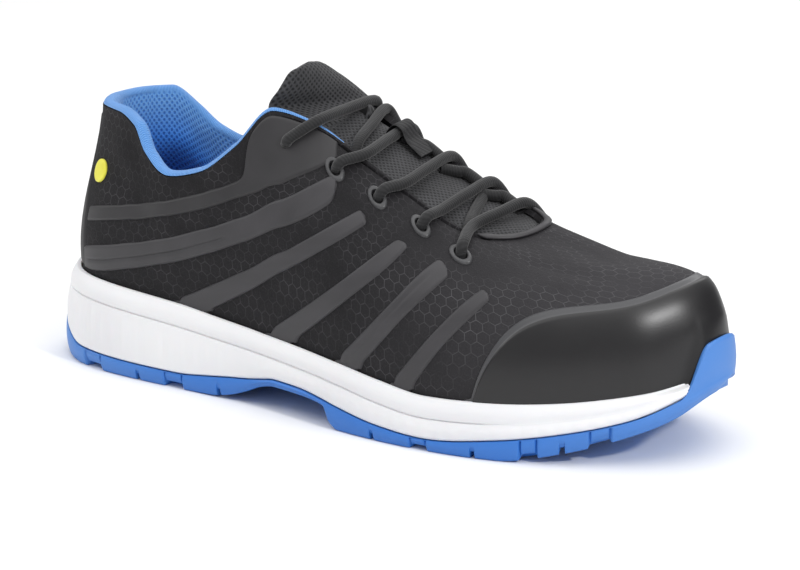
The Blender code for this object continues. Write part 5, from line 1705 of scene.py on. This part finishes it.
def make_badges(finish):
    """A plain disc on each side of the heel."""
    for side, side_name in SIDES:
        shares = np.array([1.0, 1.0, 0.985, 0.95, 0.88, 0.60, 0.30, 0.002])
        heights = np.array([-0.0010, -0.0003, -0.0001, 0.0, 0.0001, 0.0001, 0.0001, 0.0001])
        turn, climb = mirrored(BADGE_PLACE[0], side), BADGE_PLACE[1]
        turns, climbs = disc_places(turn, climb, shares * BADGE / 2, DISC_COUNT)
        points = skin(turns, climbs, np.repeat(heights[:, None] + STRIPE_WALL, DISC_COUNT, axis=1))
        made = closed_sheet(f"disc_{side_name}", points, finish, flipped=side > 0, outwards=False)
        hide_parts(f"heel_badge_{side_name}")


def make_eyelets(ring_surface, plain_surface):
    """Rounded rings about the holes. The top hole of each side has a thin fabric edge only."""
    for side, number, turn, climb in eyelet_places():
        inner, outer, high = HOLE / 2, RING_WIDE / 2, EYELET_HEIGHT
        if number == 1:
            outer, high = inner * 1.25, 0.0002
        shape = [
            # radius, height over the upper
            (inner * 1.02, -UPPER_WALL * 1.2),
            (inner * 0.98, -UPPER_WALL * 0.3),
            (inner * 1.00, high * 0.55),
            (inner * 1.06, high * 0.90),
            (inner * 1.20, high * 1.05),
            (inner * 0.35 + outer * 0.65, high * 0.95),
            (outer * 0.94, high * 0.70),
            (outer * 0.99, high * 0.30),
            (outer, -0.0002),
        ]
        radii, heights = (np.array(column) for column in zip(*shape))
        turns, climbs = disc_places(turn, climb, radii, RING_COUNT)
        points = skin(turns, climbs, np.repeat(heights[:, None], RING_COUNT, axis=1))
        name = "outer" if side < 0 else "inner"
        surface = plain_surface if number == 1 else ring_surface
        made = closed_sheet(f"ring_{name}_{number}", points, surface, flipped=side > 0, outwards=False)
        if number > 1:
            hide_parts(f"eyelet_{name}_{number}")


def throat_share(turn):
    """0 round the collar and 1 along the throat."""
    return fade(from_heel(turn), *LINING_THIN)


def lining_wall(turn, climb):
    """Thickness of the lining: padded round the collar, thin along the throat."""
    share = throat_share(turn)
    collar, throat = (looked_up(LINING, column, climb) for column in (1, 2))
    return COLLAR_PAD * (collar * (1 - share) + throat * share)


def make_lining(finish):
    turns = np.linspace(LINING_SHORT - LINING_END, LINING_END, LINING_STEPS)
    climbs = np.concatenate([np.linspace(LINING[0][0], 0.9, LINING_ROWS), [0.93, 0.96, 0.98, 1.0]])
    turn, climb = np.meshgrid(turns, climbs, indexing="ij")
    start = -(UPPER_WALL + FIT_GAP)
    wall = lining_wall(turn, climb) * (1 - PAD_THIN * soft((climb - 0.55) / 0.4) * throat_free(turn))
    soft_pad = 1 + 0.05 * np.sin(turn * 2 * math.pi * 7) * throat_free(turn) * soft((climb - 0.5) / 0.3)
    outer = skin(turn, climb, np.full(turn.shape, start))
    inner = skin(turn, climb, start - wall * soft_pad)
    top = wall[:, -1]
    lip = COLLAR_LIP * (1 - PIPING_LIP * throat_share(turns))
    outer_lip, inner_lip = [], []
    for angle in np.radians((12, 25, 38, 52, 66, 78, 88)):
        over = lip * math.sin(angle)
        middle = (PIPING_OUT + start - top) / 2
        half = (PIPING_OUT - start + top) / 2
        outer_lip.append(over_edge(turns, over, middle + half * math.cos(angle)))
        inner_lip.append(over_edge(turns, over, middle - half * math.cos(angle)))
    outer = np.concatenate([outer, np.stack(outer_lip, 1)], 1)
    inner = np.concatenate([inner, np.stack(inner_lip, 1)], 1)
    u = np.interp(turns % 1.0, SPAN_TURNS, SPAN_ROUND) - np.where(turns < 0, SPAN_ROUND[-1], 0)
    down = lengths(inner[:, ::-1])[:, ::-1, 1]
    places = np.stack([np.broadcast_to(u[:, None], down.shape), down], -1)
    made = body_of("ankle_lining", outer, inner, places, finish)
    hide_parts("collar_lining")


def throat_free(turn):
    return 1 - throat_share(turn)


def tongue_section(turn):
    """Seven points across the tongue: under the outer side, over the gap and under the inner side."""
    near = -(UPPER_WALL + FIT_GAP * 1.2)
    beneath = LINING_WALL + FIT_GAP * 0.8
    outer_low = near - beneath * soft((LINING_END + 0.008 - turn) / 0.012)
    inner_low = near - beneath * soft((LINING_END + 0.008 - LINING_SHORT - turn) / 0.012)
    outer = [upper(turn, climb, outer_low) for climb in TONGUE_WING]
    inner = [upper(1 - turn, climb, inner_low) for climb in INNER_WING]
    middle = []
    lift = TONGUE_LIFT * soft((0.300 - turn) / 0.05)
    for share in (0.25, 0.5, 0.75):
        point = outer[-1] * (1 - share) + inner[-1] * share
        rise = TONGUE_CROWN * 4 * share * (1 - share) + lift * share**2
        middle.append(point + np.array([0.0, 0.0, rise]))
    return outer + middle + inner[::-1]


def tongue_grid():
    """Rows of seven points from the front of the throat to the free end of the tongue."""
    front_turns = np.linspace(0.375, 0.625, 2 * len(TONGUE_WING) + 3)
    low = -(UPPER_WALL + FIT_GAP * 2 + LINING_WALL)
    rows = [[upper(turn, TONGUE_FRONT, low) for turn in front_turns]]
    rows += [tongue_section(turn) for turn in TONGUE_TURNS]
    share = np.linspace(0, 1, len(front_turns))[:, None]
    for *ends, crown in TONGUE_END:
        first, last = np.array(ends[:3]), np.array(ends[3:])
        row = first * (1 - share) + last * share
        rows.append(row + 4 * crown * share * (1 - share) * np.array([0.9, 0.0, 0.44]))
    return np.array(rows)


def make_tongue(finish):
    """A padded sheet: full in the middle, rounded off towards its sides and its free end."""
    face = finer(tongue_grid(), *TONGUE_GRID)
    normal = np.cross(np.gradient(face, axis=0), np.gradient(face, axis=1))
    normal /= np.linalg.norm(normal, axis=2, keepdims=True)
    normal *= np.sign((normal @ np.array([1.0, 0.0, 1.0])).mean())
    for _ in range(NORMAL_ROUNDS):
        padded = np.pad(normal, ((1, 1), (1, 1), (0, 0)), mode="edge")
        normal = (padded[:-2, 1:-1] + padded[2:, 1:-1] + padded[1:-1, :-2] + padded[1:-1, 2:]) / 4
    normal /= np.linalg.norm(normal, axis=2, keepdims=True)
    across = np.abs(np.linspace(-1, 1, face.shape[1]))[None, :, None]
    along = np.linspace(0, 1, face.shape[0])[:, None, None]
    end = np.clip((along - 0.88) / 0.12, 0, 1)
    full = np.sqrt(np.clip(1 - across**6, 0.01, 1)) * np.sqrt(np.clip(1 - end**3, 0.01, 1))
    seam = np.exp(-(((across - 0.80) / 0.035) ** 2)) * soft((along - 0.62) / 0.1)
    free = soft((along - 0.50) / 0.12)
    outer = face - normal * (TONGUE_PAD / 2 * (1 - full) * free + TONGUE_SEAM * seam)
    inner = face - normal * TONGUE_PAD * (full + (1 - full) / 2 * free)
    run = run_of(face[:, face.shape[1] // 2])[:, None]
    places = np.stack([np.broadcast_to(run, face.shape[:2]), face[..., 1]], -1)
    made = body_of("tongue_pad", outer, inner, places, finish)
    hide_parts("tongue")


def make_throat_binding(finish):
    turns = np.linspace(*ROLL_TURNS, ROLL_COUNT)
    middle = np.full(turns.shape, ROLL_CLIMB)
    path_low = skin(turns, middle, np.full(turns.shape, 0.0008))
    normal = upper_normal(turns, middle)
    ahead = np.gradient(path_low, axis=0)
    ahead /= np.linalg.norm(ahead, axis=1, keepdims=True)
    side = np.cross(normal, ahead)
    angles = np.linspace(0, 2 * math.pi, 20, endpoint=False)
    steps = np.arange(ROLL_COUNT)
    swell = np.sqrt(np.clip(np.minimum(steps, steps[::-1]) / 5.0, 0.05, 1))[:, None]
    rings = []
    for angle in angles:
        wide = side * math.cos(angle) * PIPING_HALF * swell
        tall = normal * math.sin(angle) * BINDING_WALL * 0.8 * swell
        rings.append(path_low + wide + tall)
    made = closed_sheet("throat_roll", np.stack(rings, 1), finish)
    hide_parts("throat_binding")


def lace_bar(number):
    """A smooth path from below the outer eyelet over both edges of the throat to below the inner eyelet."""
    outer_turn, outer_climb, inner_turn, inner_climb = EYELETS[number - 1]
    near, far = LACE_CROSSINGS[number - 1]
    sides = []
    ends = (
        (outer_turn, outer_climb, near, LACE_OVER[0], LACE_OUT[0], LACE_RISE[0]),
        (1 - inner_turn, inner_climb, 1 - far, LACE_OVER[1], LACE_OUT[1], LACE_RISE[1]),
    )
    for turn, climb, edge, over, out, rises in ends:
        hole = upper(turn, climb)
        normal = upper_normal(turn, climb)
        crest = over_edge(edge, over, out)
        lead = crest - hole
        lead -= normal * (lead @ normal)
        lead /= np.linalg.norm(lead)
        below = hole - normal * (UPPER_WALL + LACE * 0.5) - lead * LACE * 0.15
        mouth = hole + normal * LACE * rises[0] + lead * LACE * 0.24
        rise = hole + normal * LACE * rises[1] + lead * LACE * 0.95
        sides.append([below, mouth, rise, crest])
    middle = (sides[0][3] + sides[1][3]) / 2 + np.array([0, 0, LACE_ARCH])
    return through([*sides[0], middle, *sides[1][::-1]], PATH_STEPS)


def bar_place(number, share):
    """A point of a bar between the two edges of the throat: share 0 is the outer edge, 1 the inner one."""
    near, far = LACE_CROSSINGS[number - 1]
    first = over_edge(near, LACE_OVER[0], LACE_OUT[0])
    last = over_edge(1 - far, LACE_OVER[1], LACE_OUT[1])
    arch = np.array([0, 0, 4 * LACE_ARCH * share * (1 - share)])
    return first * (1 - share) + last * share + arch


def under_edge(turn, deep):
    """A point just inside the edge of the throat, under the upper."""
    return upper(turn, BELOW_EDGE, -deep)


def lace_runs():
    """Paths of the runs that join the bars: two cross the tongue, the others follow the inner edge."""
    down = np.array([0, 0, -1.0])
    knot = over_edge(1 - 0.2540, LACE * 0.20, LACE * 0.42)
    runs = [
        [
            upper(1 - 0.2560, 0.900, LACE * 0.45),
            knot,
            knot * 0.55 + under_edge(0.2660, 0) * 0.45 + np.array([0, 0, LACE * 0.20]),
            knot * 0.2 + under_edge(0.2660, 0) * 0.8 + np.array([0, 0, LACE * 0.10]),
            under_edge(0.2680, UPPER_WALL + LACE * 0.45),
        ],
        [
            bar_place(4, 0.88) + down * LACE * 0.75,
            bar_place(4, 0.80) * 0.5 + under_edge(0.3370, 0) * 0.5 + down * LACE * 0.30,
            bar_place(4, 0.74) * 0.15 + under_edge(0.3370, 0) * 0.85 + down * LACE * 0.10,
            under_edge(0.3385, UPPER_WALL + LACE * 0.45),
        ],
    ]
    for number in (2, 3, 4):
        start = bar_place(number, 0.76) + down * LACE * 0.62
        end = bar_place(number + 1, 0.94) + down * LACE * 0.55
        middle = bar_place(number, 0.97) * 0.55 + bar_place(number + 1, 0.97) * 0.45 + down * LACE * 0.45
        runs.append([start, start * 0.4 + middle * 0.6, middle, end])
    return runs


def make_lace(finish):
    """Bars through the eyelets, and the runs that join each bar to the next."""
    made = [cord_of(f"lace_bar_{n}", lace_bar(n), LACE, finish) for n in range(1, len(EYELETS) + 1)]
    for number, points in enumerate(lace_runs(), 1):
        made.append(cord_of(f"lace_run_{number}", through(points, PATH_STEPS), LACE * 0.98, finish))
    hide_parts("lace")


def make_tongue_loop(finish):
    """A flat band over the second bar, lying down along the tongue."""
    bar = bar_place(LOOP_BAR, KEEPER_SHARE)
    slope = bar_place(LOOP_BAR + 1, KEEPER_SHARE) - bar
    slope /= np.linalg.norm(slope)
    side = bar_place(LOOP_BAR, KEEPER_SHARE + 0.05) - bar
    side /= np.linalg.norm(side)
    up = np.cross(slope, side)
    up *= np.sign(up[2])
    line = through([[along, 0.0, rise] for along, rise in KEEPER], 8)
    shares = np.linspace(-1, 1, 19)
    grids = []
    for wall in (1.0, 0.0):
        thick = LOOP_WALL * (0.5 + (wall - 0.5) * np.sqrt(np.clip(1 - np.abs(shares) ** 10, 0.02, 1)))
        middle = bar + np.outer(line[:, 0], slope) + np.outer(line[:, 2], up)
        grid = middle[:, None, :] + up * thick[None, :, None] + side * (shares * KEEPER_HALF)[None, :, None]
        grids.append(grid)
    made = body_of("lace_keeper", grids[0], grids[1], lengths(grids[0]), finish)
    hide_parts("tongue_loop")


def make_stage(finish):
    bpy.ops.mesh.primitive_plane_add(size=14.0, location=(0.0, 4.0, 0.0))
    floor = bpy.context.object
    floor.name = "floor"
    floor.data.materials.append(finish)


def area_light(name, place, target, size, power):
    data = bpy.data.lights.new(name, "AREA")
    data.shape = "DISK"
    data.size = size
    data.energy = power
    light = bpy.data.objects.new(name, data)
    light.location = place
    light.rotation_euler = (Vector(target) - Vector(place)).to_track_quat("-Z", "Y").to_euler()
    bpy.context.scene.collection.objects.link(light)


def sky_ramp(tree, value, *stops):
    """Two colours by a value: each stop is a place and a colour."""
    node = tree.nodes.new("ShaderNodeValToRGB")
    for mark, (place, colour) in zip(node.color_ramp.elements, stops):
        mark.position = place
        mark.color = (*colour, 1.0)
    tree.links.new(value, node.inputs["Fac"])
    return node.outputs["Color"]


def make_light():
    world = bpy.data.worlds.new("studio")
    world.use_nodes = True
    tree = world.node_tree
    sky = tree.nodes["Background"]
    sky.inputs["Strength"].default_value = WORLD_STRENGTH
    direction = tree.nodes.new("ShaderNodeTexCoord").outputs["Generated"]
    height = tree.nodes.new("ShaderNodeSeparateXYZ")
    tree.links.new(direction, height.inputs["Vector"])
    side = tree.nodes.new("ShaderNodeVectorMath")
    side.operation = "DOT_PRODUCT"
    side.inputs[1].default_value = DARK_SIDE
    tree.links.new(direction, side.inputs[0])
    both = tree.nodes.new("ShaderNodeVectorMath")
    both.operation = "MULTIPLY"
    shade = sky_ramp(tree, height.outputs["Z"], (0.10, WORLD_LOW), (0.80, WORLD_HIGH))
    dark = sky_ramp(tree, side.outputs["Value"], (0.62, (1.0, 1.0, 1.0)), (0.90, DARK_TONE))
    tree.links.new(shade, both.inputs[0])
    tree.links.new(dark, both.inputs[1])
    tree.links.new(both.outputs["Vector"], sky.inputs["Color"])
    bpy.context.scene.world = world
    for name, place, size, power in LIGHTS:
        area_light(name, place, CAMERA_TARGET, size, power)
    bpy.context.scene.view_settings.view_transform = "Standard"


def make_camera():
    azimuth, elevation = (math.radians(angle) for angle in CAMERA_ANGLES)
    data = bpy.data.cameras.new("camera")
    data.sensor_width = 36.0
    data.lens = CAMERA_LENS
    data.clip_start = 0.05
    camera = bpy.data.objects.new("camera", data)
    away = Vector(
        (
            math.sin(azimuth) * math.cos(elevation),
            -math.cos(azimuth) * math.cos(elevation),
            math.sin(elevation),
        )
    )
    camera.location = Vector(CAMERA_TARGET) + away * CAMERA_DISTANCE
    camera.rotation_euler = (-away).to_track_quat("-Z", "Y").to_euler()
    bpy.context.scene.collection.objects.link(camera)
    bpy.context.scene.camera = camera


def main():
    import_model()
    make_camera()
    make_light()
    make_stage(floor_finish())
    shell = shell_mesh()
    stripe_film = film_finish("grey_film", FILM_COLOUR, FILM_LIGHT, 0.50)
    stay_film = film_finish("dark_film", STAY_COLOUR, STAY_LIGHT, 0.50)
    make_outsole(rubber_finish())
    make_midsole(foam_finish())
    make_insole(felt_finish())
    make_upper(shell)
    make_toe_cap(cap_finish())
    make_eyestays(stay_film)
    make_stripes(stripe_film)
    make_heel_strip(film_finish("heel_film", SHELL_COLOUR, SHELL_LIGHT, 0.58))
    make_badges(disc_finish())
    make_lining(spacer_finish())
    make_tongue(tongue_finish())
    make_throat_binding(stripe_film)
    make_eyelets(ring_finish(), shell)
    make_lace(cord_finish("black_cord", CORD_COLOUR, CORD_LIGHT, 0.0011))
    make_tongue_loop(webbing_finish())


main()
